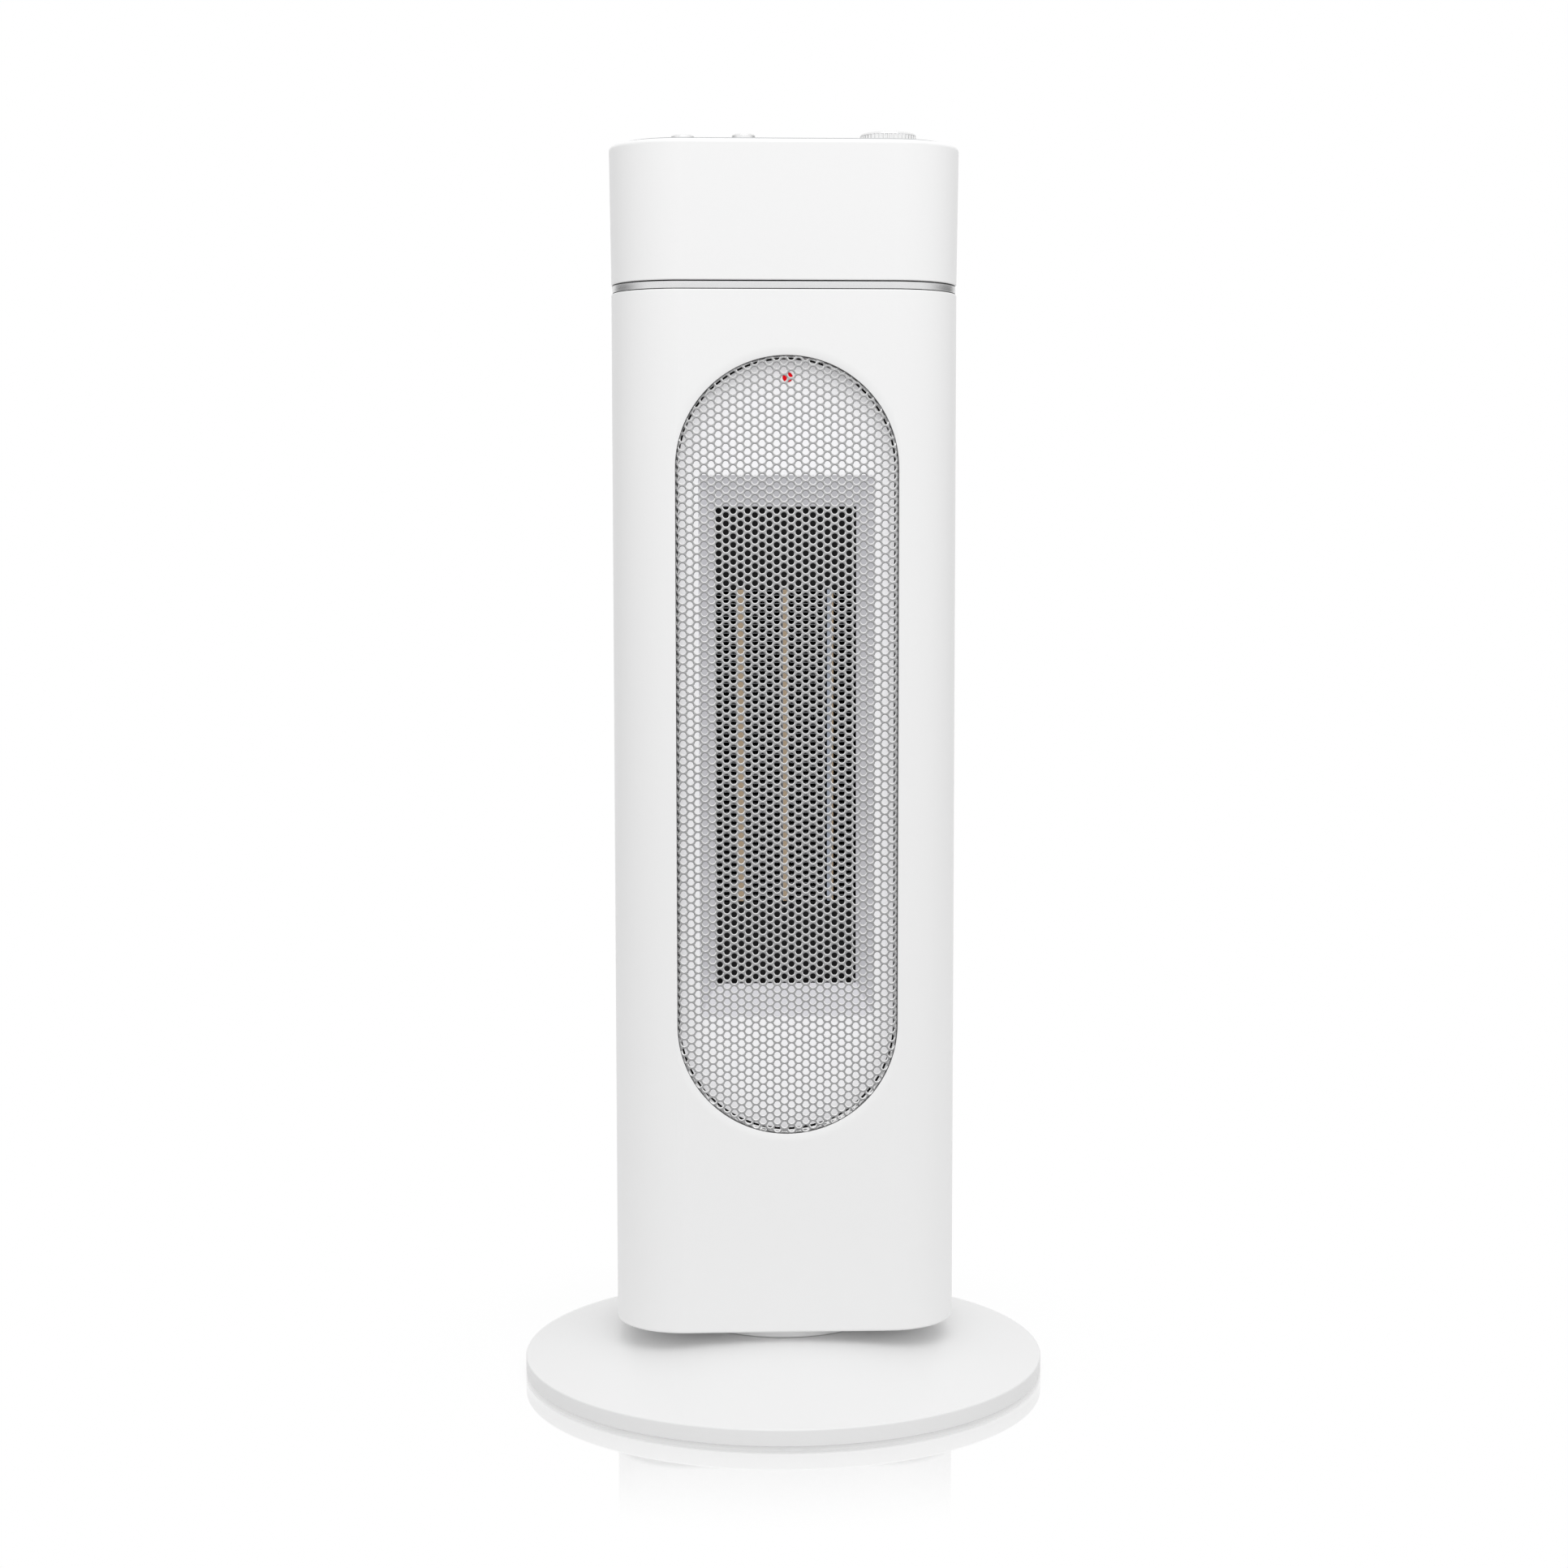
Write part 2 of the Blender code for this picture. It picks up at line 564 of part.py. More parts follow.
def build_turntable(frame, grey):
    """The fixed disc under the tower, with the slot that the crank's pin runs in."""
    profile = [
        (HUB_RADIUS + GAP, DISH_UNDERSIDE),
        (WELL_RADIUS - GAP, DISH_UNDERSIDE),
        (WELL_RADIUS - GAP, TURNTABLE_UNDERSIDE),
        (TURNTABLE_RADIUS, TURNTABLE_UNDERSIDE),
        (TURNTABLE_RADIUS, TURNTABLE_TOP),
        (DISH_RADIUS, TURNTABLE_TOP),
        (DISH_RADIUS, DISH_TOP),
        (HUB_RADIUS + GAP, DISH_TOP),
    ]
    disc = make_piece("turntable_disc", turned(profile, ring=True), grey, frame)
    reach = MOTOR_OFFSET + CRANK_REACH
    inner = math.hypot(
        MOTOR_OFFSET + CRANK_REACH * math.cos(CRANK_ANGLE), CRANK_REACH * math.sin(CRANK_ANGLE)
    )
    half_slot = CRANK_PIN_RADIUS + CRANK_CLEARANCE
    slot = stadium_outline(half_slot, (reach - inner) / 2 + half_slot)
    slot_shape = upright(
        bmesh.new(), slot, DISH_UNDERSIDE - OVERRUN, DISH_TOP + OVERRUN, (0, (reach + inner) / 2)
    )
    cut(disc, slot_shape, "slot")


def build_swivel(frame, grey, steel, white, black):
    """What turns with the tower at its foot, and the crank that swings it."""
    outline = body_outline(CASING_WALL + GAP)
    plate = make_piece(
        "bottom_plate", upright(bmesh.new(), outline, BODY_BOTTOM, PLATE_TOP), grey, frame
    )
    hub = circle(HUB_RADIUS, MIDDLE_STEPS)
    add(plate, upright(bmesh.new(), hub, HUB_BOTTOM, PLATE_TOP - GAP), "hub")
    holes = upright(
        bmesh.new(), circle(HUB_BORE_RADIUS, SMALL_STEPS), HUB_BOTTOM - OVERRUN, PLATE_TOP + OVERRUN
    )
    upright(
        holes,
        circle(CRANK_SHAFT_RADIUS + GAP, SMALL_STEPS),
        BODY_BOTTOM - OVERRUN,
        PLATE_TOP + OVERRUN,
        (0, MOTOR_OFFSET),
    )
    cut(plate, holes, "holes")

    washer_top = DISH_UNDERSIDE - GAP
    retainer_top = washer_top - WASHER_THICKNESS - GAP
    rings = (
        ("swivel_washer", WASHER_RADIUS, washer_top, WASHER_THICKNESS, white),
        ("swivel_retainer", RETAINER_RADIUS, retainer_top, RETAINER_THICKNESS, steel),
    )
    for name, radius, top, thickness, material in rings:
        profile = [
            (HUB_RADIUS + GAP, top - thickness),
            (radius, top - thickness),
            (radius, top),
            (HUB_RADIUS + GAP, top),
        ]
        make_piece(name, turned(profile, MIDDLE_STEPS, ring=True), material, frame)

    bore_radius = CRANK_SHAFT_RADIUS + GAP
    motor_bottom = PLATE_TOP + GAP
    motor = [
        (0, motor_bottom + SWING_MOTOR_BORE),
        (bore_radius, motor_bottom + SWING_MOTOR_BORE),
        (bore_radius, motor_bottom),
        (SWING_MOTOR_RADIUS, motor_bottom),
        (SWING_MOTOR_RADIUS, motor_bottom + SWING_MOTOR_HEIGHT),
        (0, motor_bottom + SWING_MOTOR_HEIGHT),
    ]
    axis = (0, MOTOR_OFFSET, 0)
    make_piece("swing_motor", turned(motor, MIDDLE_STEPS), steel, frame, axis)

    arm = stadium_outline(CRANK_ARM_RADIUS, CRANK_REACH / 2 + CRANK_ARM_RADIUS)
    arm_bottom = CRANK_ARM_TOP - CRANK_ARM_THICKNESS
    crank = make_piece(
        "swing_crank",
        upright(bmesh.new(), arm, arm_bottom, CRANK_ARM_TOP, (0, CRANK_REACH / 2)),
        white,
        frame,
        axis,
    )
    middle = (arm_bottom + CRANK_ARM_TOP) / 2
    spindle = circle(CRANK_SHAFT_RADIUS, SMALL_STEPS)
    spindle_top = motor_bottom + SWING_MOTOR_BORE - GAP
    shafts = upright(bmesh.new(), spindle, middle, spindle_top)
    pin = circle(CRANK_PIN_RADIUS, SMALL_STEPS)
    upright(shafts, pin, DISH_UNDERSIDE + GAP, middle, (0, CRANK_REACH))
    add(crank, shafts, "shafts")

    switch = rounded_outline(TIP_SWITCH_SIZE / 2, TIP_SWITCH_SIZE / 2, CASING_WALL, FILLET_STEPS)
    place = (-TIP_SWITCH_OFFSET, 0, motor_bottom)
    make_piece("tip_switch", upright(bmesh.new(), switch, 0, TIP_SWITCH_SIZE), black, frame, place)


def casing_line(inset, split, side):
    """One side of a half casing seen from above, from its right edge round to its left edge."""
    centre = (HALF_WIDTH - CORNER_RADIUS, side * (HALF_DEPTH - CORNER_RADIUS))
    right = arc(centre, CORNER_RADIUS - inset, 0, side * math.pi / 2, CORNER_STEPS)
    left = [(-x, y) for x, y in reversed(right)]
    return [(HALF_WIDTH - inset, split)] + right + left + [(inset - HALF_WIDTH, split)]


def half_casing(split, side):
    """A housing's wall: a U seen from above, with its outer edges eased at the bottom and the top."""
    inner = casing_line(CASING_WALL, split, side)[::-1]
    eased = CASING_FILLET / 4
    stations = (
        (BODY_BOTTOM, CASING_FILLET),
        (BODY_BOTTOM + eased, eased),
        (BODY_BOTTOM + CASING_FILLET, 0),
        (CASING_TOP - eased, 0),
        (CASING_TOP, eased),
    )
    return lofted([level(casing_line(inset, split, side) + inner, z) for z, inset in stations])


def build_casing(frame, white, black):
    front = make_piece("front_housing", half_casing(CASING_SPLIT, -1), white, frame)
    opening_width = GRILLE_WIDTH / 2 + GAP
    opening_length = GRILLE_LENGTH / 2 + GAP
    collar = stadium_outline(opening_width + COLLAR_WALL, opening_length + COLLAR_WALL)
    add(front, through(bmesh.new(), collar, FRONT + CASING_WALL / 2, COLLAR_BACK), "collar")
    lip = [(LIP_RADIUS, FRONT - OVERRUN)]
    lip += [
        (LIP_RADIUS * (1 - math.sin(turn_angle)), FRONT + LIP_RADIUS * (1 - math.cos(turn_angle)))
        for turn_angle in (math.pi / 2 * step / (FILLET_STEPS + 1) for step in range(FILLET_STEPS + 2))
    ]
    lip += [(0, COLLAR_BACK + OVERRUN)]
    mouth = [
        facing(stadium_outline(opening_width + flare, opening_length + flare), depth)
        for flare, depth in lip
    ]
    cut(front, lofted(mouth), "mouth")

    rear = make_piece("rear_housing", half_casing(CASING_SPLIT + GAP, 1), white, frame)

    def grip_outline(wall):
        half_x, half_z = GRIP_WIDTH / 2 + wall, GRIP_OPENING / 2 + wall
        return rounded_outline(half_x, half_z, GRIP_CORNER + wall, FILLET_STEPS)

    grip_centre = (0, GRIP_HEIGHT)
    grip_bottom = HALF_DEPTH - GRIP_DEPTH
    pocket = through(
        bmesh.new(),
        grip_outline(GRIP_WALL),
        grip_bottom - GRIP_WALL,
        HALF_DEPTH - CASING_WALL / 2,
        grip_centre,
    )
    add(rear, pocket, "grip")
    slots = through(bmesh.new(), grip_outline(0), grip_bottom, HALF_DEPTH + OVERRUN, grip_centre)
    slot = rectangle(LOUVRE_WIDTH / 2, LOUVRE_HEIGHT / 2)
    for column in range(LOUVRE_COLUMNS):
        for row in range(LOUVRE_ROWS):
            centre = (
                LOUVRE_SPREAD * (column - (LOUVRE_COLUMNS - 1) / 2),
                OUTLET_HEIGHT + LOUVRE_PITCH * (row - (LOUVRE_ROWS - 1) / 2),
            )
            through(slots, slot, HALF_DEPTH - CASING_WALL - OVERRUN, HALF_DEPTH + OVERRUN, centre)
    gland_centre = (GLAND_OFFSET, GLAND_HEIGHT)
    gland_hole = circle(GLAND_RADIUS + GAP, SMALL_STEPS)
    through(slots, gland_hole, HALF_DEPTH - CASING_WALL - OVERRUN, HALF_DEPTH + OVERRUN, gland_centre)
    cut(rear, slots, "openings")

    back = HALF_DEPTH + GAP
    gland_stations = (
        (GLAND_RADIUS, HALF_DEPTH - CASING_WALL - GLAND_TAIL),
        (GLAND_RADIUS, back),
        (GLAND_FLANGE_RADIUS, back),
        (GLAND_FLANGE_RADIUS, back + GLAND_FLANGE_THICKNESS),
        (GLAND_BORE_RADIUS, back + GLAND_FLANGE_THICKNESS),
        (GLAND_BORE_RADIUS, HALF_DEPTH - CASING_WALL - GLAND_TAIL),
    )
    gland = [
        facing(circle(radius, SMALL_STEPS), depth, gland_centre) for radius, depth in gland_stations
    ]
    make_piece("inlet_gland", lofted(gland, closed=True), black, frame)


def build_head(frame, white, silver):
    spigot = CASING_WALL + GAP
    band = (
        (BAND_INSET, BAND_BOTTOM),
        (BAND_INSET, BAND_TOP),
        (spigot, BAND_TOP),
        (spigot, BAND_TOP + BAND_SPIGOT_HEIGHT),
        (spigot + BAND_SPIGOT_WALL, BAND_TOP + BAND_SPIGOT_HEIGHT),
        (spigot + BAND_SPIGOT_WALL, BAND_BOTTOM - BAND_SPIGOT_HEIGHT),
        (spigot, BAND_BOTTOM - BAND_SPIGOT_HEIGHT),
        (spigot, BAND_BOTTOM),
    )
    rings = [level(body_outline(inset), z) for inset, z in band]
    make_piece("trim_band", lofted(rings, closed=True), silver, frame)

    rim_outer = HEAD_FILLET - HEAD_FLARE
    rim_inner = HEAD_RIM - HEAD_FLARE
    ledge_inner = rim_inner + LEDGE_WIDTH
    fillet = arc((rim_outer, HEAD_TOP - HEAD_FILLET), -HEAD_FILLET, 0, -math.pi / 2, FILLET_STEPS)
    head = [(0, HEAD_BOTTOM)] + fillet
    head += [
        (rim_inner, HEAD_TOP),
        (rim_inner, LEDGE_TOP),
        (ledge_inner, LEDGE_TOP),
        (ledge_inner, LEDGE_TOP - LEDGE_THICKNESS),
        (CASING_WALL - HEAD_FLARE, LEDGE_TOP - 2 * LEDGE_THICKNESS),
        (CASING_WALL, HEAD_BOTTOM),
    ]
    rings = [level(body_outline(inset), z) for inset, z in head]
    make_piece("head_shell", lofted(rings, closed=True), white, frame)


def build_controls(frame, silver, black, steel, white):
    edge = HEAD_RIM - HEAD_FLARE + GAP
    panel_rings = [
        level(body_outline(edge), PANEL_BOTTOM),
        level(body_outline(edge), PANEL_TOP - PANEL_CHAMFER),
        level(body_outline(edge + PANEL_CHAMFER), PANEL_TOP),
    ]
    panel = make_piece("control_panel", lofted(panel_rings), silver, frame)
    holes = upright(
        bmesh.new(),
        circle(SHAFT_RADIUS + GAP, SMALL_STEPS),
        PANEL_BOTTOM - OVERRUN,
        PANEL_TOP + OVERRUN,
        (KNOB_OFFSET, 0),
    )
    for offset in BUTTON_OFFSETS:
        hole = circle(BUTTON_RADIUS + GAP, SMALL_STEPS)
        upright(holes, hole, PANEL_BOTTOM - OVERRUN, PANEL_TOP + OVERRUN, (offset, 0))
    cut(panel, holes, "holes")

    carrier_outline = rounded_outline(
        CARRIER_WIDTH / 2, CARRIER_DEPTH / 2, CARRIER_CORNER, FILLET_STEPS
    )
    carrier = make_piece(
        "control_carrier",
        upright(bmesh.new(), carrier_outline, CARRIER_BOTTOM, CARRIER_TOP),
        steel,
        frame,
    )
    posts = bmesh.new()
    for offset in POST_OFFSETS:
        post = circle(POST_RADIUS, SMALL_STEPS // 2)
        upright(posts, post, CARRIER_BOTTOM + CARRIER_THICKNESS / 2, PANEL_BOTTOM - GAP, (offset, 0))
    add(carrier, posts, "posts")

    thermostat = rounded_outline(
        THERMOSTAT_WIDTH / 2, THERMOSTAT_DEPTH / 2, CARRIER_CORNER, FILLET_STEPS
    )
    thermostat_top = PANEL_BOTTOM - GAP
    body = make_piece(
        "thermostat_body",
        upright(bmesh.new(), thermostat, CARRIER_TOP + GAP, thermostat_top, (KNOB_OFFSET, 0)),
        black,
        frame,
    )
    bore = circle(SHAFT_RADIUS + GAP, SMALL_STEPS)
    bore_bottom = thermostat_top - SHAFT_IN_THERMOSTAT - GAP
    cut(
        body,
        upright(bmesh.new(), bore, bore_bottom, thermostat_top + OVERRUN, (KNOB_OFFSET, 0)),
        "bore",
    )
    build_knob(frame, silver, steel)
    for number, (offset, height) in enumerate(zip(BUTTON_OFFSETS, BUTTON_HEIGHTS), 1):
        build_button(frame, number, offset, height, silver, white)


def build_knob(frame, silver, steel):
    """A ribbed cap with a round shoulder on a plain shaft, both in the shaft's own frame."""
    place = (KNOB_OFFSET, 0, PANEL_TOP)
    shaft_top = KNOB_CLEARANCE + SHAFT_IN_KNOB
    shaft_bottom = PANEL_BOTTOM - GAP - SHAFT_IN_THERMOSTAT - PANEL_TOP
    shaft = [(0, shaft_bottom), (SHAFT_RADIUS, shaft_bottom), (SHAFT_RADIUS, shaft_top), (0, shaft_top)]
    make_piece("thermostat_shaft", turned(shaft, SMALL_STEPS), steel, frame, place)

    def ribbed(radius, depth):
        points = circle(radius, 2 * RIB_COUNT)
        shares = [1 - depth / radius * (index % 2) for index in range(2 * RIB_COUNT)]
        return [(x * share, y * share) for (x, y), share in zip(points, shares)]

    shoulder = KNOB_HEIGHT - KNOB_SHOULDER
    stations = (
        (KNOB_RADIUS, RIB_DEPTH, KNOB_CLEARANCE),
        (KNOB_RADIUS, RIB_DEPTH, shoulder),
        (KNOB_RADIUS - KNOB_SHOULDER / 3, 0, KNOB_HEIGHT - KNOB_SHOULDER / 3),
        (KNOB_RADIUS - KNOB_SHOULDER, 0, KNOB_HEIGHT),
        (KNOB_CAP_RADIUS, 0, KNOB_HEIGHT - KNOB_DISH),
    )
    rings = [level(ribbed(radius, depth), z) for radius, depth, z in stations]
    knob = make_piece("thermostat_knob", lofted(rings), silver, frame, place)
    bore = circle(SHAFT_RADIUS + GAP, SMALL_STEPS)
    cut(knob, upright(bmesh.new(), bore, KNOB_CLEARANCE - OVERRUN, shaft_top + GAP), "bore")


def build_button(frame, number, offset, height, silver, white):
    """A push button that slides in the panel, and the switch under it."""
    base = BUTTON_BOTTOM - PANEL_TOP
    shoulder = BUTTON_RADIUS - BUTTON_DOME
    profile = [
        (0, base - STEM_LENGTH),
        (STEM_RADIUS, base - STEM_LENGTH),
        (STEM_RADIUS, base),
        (BUTTON_RADIUS, base),
        (BUTTON_RADIUS, height - BUTTON_DOME),
        (BUTTON_RADIUS - BUTTON_DOME / 3, height - BUTTON_DOME / 3),
        (shoulder, height - BUTTON_DOME / 8),
        (0, height),
    ]
    place = (offset, 0, PANEL_TOP)
    make_piece(f"push_button_{number}", turned(profile, SMALL_STEPS), silver, frame, place)

    outline = rounded_outline(SWITCH_WIDTH / 2, SWITCH_DEPTH / 2, CASING_WALL, FILLET_STEPS)
    switch = make_piece(
        f"button_switch_{number}",
        upright(bmesh.new(), outline, SWITCH_BOTTOM, SWITCH_TOP, (offset, 0)),
        white,
        frame,
    )
    bore = circle(STEM_RADIUS + GAP, SMALL_STEPS)
    bore_bottom = BUTTON_BOTTOM - STEM_LENGTH - BUTTON_TRAVEL - GAP
    cut(switch, upright(bmesh.new(), bore, bore_bottom, SWITCH_TOP + OVERRUN, (offset, 0)), "bore")


def grille_holes(hole_radius):
    """Centres of a triangular lattice, kept to the flat field inside the border."""
    row_step = GRILLE_PITCH / 2
    column_step = GRILLE_PITCH * math.sqrt(3) / 2
    reach = GRILLE_WIDTH / 2 - GRILLE_BORDER - hole_radius
    straight = (GRILLE_LENGTH - GRILLE_WIDTH) / 2
    columns = math.floor(reach / column_step)
    rows = math.floor((straight + reach) / row_step)
    for column in range(-columns, columns + 1):
        for row in range(-rows, rows + 1):
            x, z = column * column_step, row * row_step
            past_straight = max(abs(z) - straight, 0)
            if (row + column) % 2 == 0 and math.hypot(x, past_straight) <= reach:
                yield x, z


def build_grille(frame, metal):
    """A perforated sheet whose edge is turned back into the housing."""
    half_width, half_length = GRILLE_WIDTH / 2, GRILLE_LENGTH / 2

    def edge_ring(inset, depth):
        return facing(stadium_outline(half_width - inset, half_length - inset), depth)

    bend = GRILLE_FRONT + GRILLE_RIM
    outer = arc((GRILLE_RIM, bend), -GRILLE_RIM, 0, math.pi / 2, FILLET_STEPS + 1)
    inner = arc((GRILLE_RIM, bend), GRILLE_SHEET - GRILLE_RIM, 0, math.pi / 2, FILLET_STEPS)
    stations = inner[::-1] + [(GRILLE_SHEET, GRILLE_BACK), (0, GRILLE_BACK)] + outer
    rings = [edge_ring(inset, depth) for inset, depth in stations]
    grille = make_piece("outlet_grille", lofted(rings), metal, frame)

    hole_radius = GRILLE_PITCH * GRILLE_HOLE_SHARE / 2
    hexagon = circle(hole_radius, GRILLE_HOLE_SIDES)
    holes = bmesh.new()
    for x, z in grille_holes(hole_radius):
        centre = (x, OUTLET_HEIGHT + z)
        through(holes, hexagon, GRILLE_FRONT - OVERRUN, GRILLE_FRONT + GRILLE_SHEET + OVERRUN, centre)
    cut(grille, holes, "holes")


def build_backplate(frame, white, red, grey):
    """The white plate behind the grille, with a funnel down to the outlet window, and the lamp in it."""
    half_width, half_length = GRILLE_WIDTH / 2, GRILLE_LENGTH / 2
    outline = stadium_outline(half_width, half_length)
    plate = make_piece(
        "outlet_bezel",
        through(bmesh.new(), outline, BACKPLATE_FRONT, BACKPLATE_BACK),
        white,
        frame,
    )
    funnel_wide = (FUNNEL_WIDTH / 2, FUNNEL_LENGTH / 2)
    funnel_narrow = (WINDOW_WIDTH / 2, WINDOW_LENGTH / 2)

    def funnel_ring(share, wall, depth):
        """The funnel's section at a share of its depth, 0 at the plate and 1 at the window."""
        half_x, half_z = (
            wide + (narrow - wide) * share for wide, narrow in zip(funnel_wide, funnel_narrow)
        )
        return facing(rectangle(half_x + wall, half_z + wall), depth)

    start_share = BACKPLATE_THICKNESS / 2 / FUNNEL_DEPTH
    start_depth = BACKPLATE_FRONT + BACKPLATE_THICKNESS / 2
    outside = [funnel_ring(start_share, FUNNEL_WALL, start_depth), funnel_ring(1, FUNNEL_WALL, FUNNEL_BACK)]
    add(plate, lofted(outside), "funnel")
    over_share = OVERRUN / FUNNEL_DEPTH
    inside = [
        funnel_ring(-over_share, 0, BACKPLATE_FRONT - OVERRUN),
        funnel_ring(1 + over_share, 0, FUNNEL_BACK + OVERRUN),
    ]
    cut(plate, lofted(inside), "throat")
    lamp_centre = (0, LAMP_HEIGHT)
    lamp_hole = circle(LAMP_RADIUS + GAP, SMALL_STEPS)
    cut(
        plate,
        through(
            bmesh.new(), lamp_hole, BACKPLATE_FRONT - OVERRUN, BACKPLATE_BACK + OVERRUN, lamp_centre
        ),
        "lamp_hole",
    )

    nose = BACKPLATE_FRONT - LAMP_PROUD
    lamp_stations = (
        (LAMP_RADIUS / 3, nose),
        (LAMP_RADIUS * 3 / 4, nose + LAMP_RADIUS / 4),
        (LAMP_RADIUS, nose + LAMP_RADIUS),
        (LAMP_RADIUS, nose + LAMP_LENGTH),
    )
    lamp = [facing(circle(radius, SMALL_STEPS), depth, lamp_centre) for radius, depth in lamp_stations]
    make_piece("indicator_lamp", lofted(lamp), red, frame)
    holder_front = BACKPLATE_BACK + GAP
    holder_stations = (
        (LAMP_HOLDER_RADIUS, holder_front),
        (LAMP_HOLDER_RADIUS, holder_front + LAMP_HOLDER_LENGTH),
        (LAMP_RADIUS + GAP, holder_front + LAMP_HOLDER_LENGTH),
        (LAMP_RADIUS + GAP, holder_front),
    )
    holder = [
        facing(circle(radius, SMALL_STEPS), depth, lamp_centre) for radius, depth in holder_stations
    ]
    make_piece("lamp_holder", lofted(holder, closed=True), grey, frame)


def fin_outline(left, right):
    """A sheet folded to and fro between two sides, climbing the heater's length."""
    legs = 2 * round((HEATER_LENGTH - 2 * GAP) / FIN_PITCH)
    rise = (HEATER_LENGTH - 2 * GAP) / legs
    bottom = GAP - HEATER_LENGTH / 2
    sides = (left, right - FIN_FOLD)
    folds = [(sides[index % 2], bottom + rise * index) for index in range(legs + 1)]
    return folds + [(x + FIN_FOLD, z) for x, z in reversed(folds)]


def build_heater(frame, black, ceramic, aluminium, steel):
    half_width, half_length = WINDOW_WIDTH / 2, WINDOW_LENGTH / 2
    outline = rectangle(half_width + FRAME_WALL, half_length + FRAME_WALL)
    holder = make_piece(
        "heater_frame", through(bmesh.new(), outline, FRAME_FRONT, FRAME_BACK), black, frame
    )
    recess = rectangle(half_width, half_length)
    cut(holder, through(bmesh.new(), recess, FRAME_FRONT - OVERRUN, HEATER_FRONT), "recess")
    opening = rectangle(half_width, HEATER_LENGTH / 2)
    cut(
        holder,
        through(bmesh.new(), opening, HEATER_FRONT - OVERRUN, FRAME_BACK + OVERRUN),
        "opening",
    )

    heater_back = HEATER_FRONT + BAR_DEPTH
    bar = rectangle(BAR_WIDTH / 2, HEATER_LENGTH / 2 - GAP)
    centres = [BAR_SPACING * (number - (BAR_COUNT - 1) / 2) for number in range(BAR_COUNT)]
    for number, x in enumerate(centres, 1):
        shape = through(bmesh.new(), bar, HEATER_FRONT, heater_back, (x, OUTLET_HEIGHT))
        make_piece(f"heater_bar_{number}", shape, ceramic, frame)
    clear = BAR_WIDTH / 2 + GAP
    lefts = [GAP - half_width] + [x + clear for x in centres]
    rights = [x - clear for x in centres] + [half_width - GAP]
    for number, (left, right) in enumerate(zip(lefts, rights), 1):
        shape = through(bmesh.new(), fin_outline(left, right), HEATER_FRONT, heater_back)
        make_piece(f"heater_fins_{number}", shape, aluminium, frame)

    disc = [(0, 0), (CUTOUT_RADIUS, 0), (CUTOUT_RADIUS, CUTOUT_HEIGHT), (0, CUTOUT_HEIGHT)]
    frame_top = OUTLET_HEIGHT + half_length + FRAME_WALL
    place = (CUTOUT_OFFSET, (FRAME_FRONT + FRAME_BACK) / 2, frame_top + GAP)
    make_piece("thermal_cutout", turned(disc, SMALL_STEPS), steel, frame, place)


def build_duct(frame, black):
    """The fan's scroll wall and tongue, between two end plates that stand on the heater frame."""
    fan = (FAN_OFFSET_X, FAN_OFFSET_Y)
    wall_front = DUCT_FRONT + DUCT_WALL / 2
    outlet_left = (-DUCT_HALF_WIDTH, wall_front)
    end_radius = math.dist(fan, outlet_left)
    end_angle = math.atan2(outlet_left[1] - fan[1], outlet_left[0] - fan[0]) + 2 * math.pi
    start_radius = IMPELLER_RADIUS + SCROLL_CLEARANCE
    growth = math.log(end_radius / start_radius)
    spiral_steps = 2 * CORNER_STEPS
    scroll_line = []
    for step in range(spiral_steps + 1):
        share = step / spiral_steps
        angle = SCROLL_START + (end_angle - SCROLL_START) * share
        radius = start_radius * math.exp(growth * share)
        scroll_line.append((fan[0] + radius * math.cos(angle), fan[1] + radius * math.sin(angle)))
    nose_radius = IMPELLER_RADIUS + TONGUE_CLEARANCE
    nose = (fan[0] + nose_radius * math.cos(math.pi / 6), fan[1] - nose_radius * math.sin(math.pi / 6))
    tongue_line = [
        (DUCT_HALF_WIDTH, wall_front),
        (nose[0] + TONGUE_CURL / 8, nose[1] - TONGUE_CURL / 2),
        nose,
        (nose[0] + TONGUE_CURL / 4, nose[1] + TONGUE_CURL / 2),
        (nose[0] + TONGUE_CURL, nose[1] + TONGUE_CURL * 3 / 4),
    ]
    for name, line in (("blower_scroll", scroll_line), ("blower_tongue", tongue_line)):
        wall = upright(bmesh.new(), ribbon(line, DUCT_WALL), DUCT_BOTTOM + GAP, DUCT_TOP - GAP)
        make_piece(name, wall, black, frame)

    plate_back = HALF_DEPTH - CASING_WALL - GAP
    middle = (0, (DUCT_FRONT + plate_back) / 2)
    outline = rounded_outline(
        END_PLATE_WIDTH / 2, (plate_back - DUCT_FRONT) / 2, END_PLATE_CORNER, FILLET_STEPS
    )
    hole = circle(FAN_SHAFT_RADIUS + GAP, SMALL_STEPS)
    plates = (
        ("blower_end_bottom", DUCT_BOTTOM - END_PLATE_THICKNESS),
        ("blower_end_top", DUCT_TOP),
    )
    for name, bottom in plates:
        top = bottom + END_PLATE_THICKNESS
        plate = make_piece(name, upright(bmesh.new(), outline, bottom, top, middle), black, frame)
        cut(plate, upright(bmesh.new(), hole, bottom - OVERRUN, top + OVERRUN, fan), "shaft_hole")


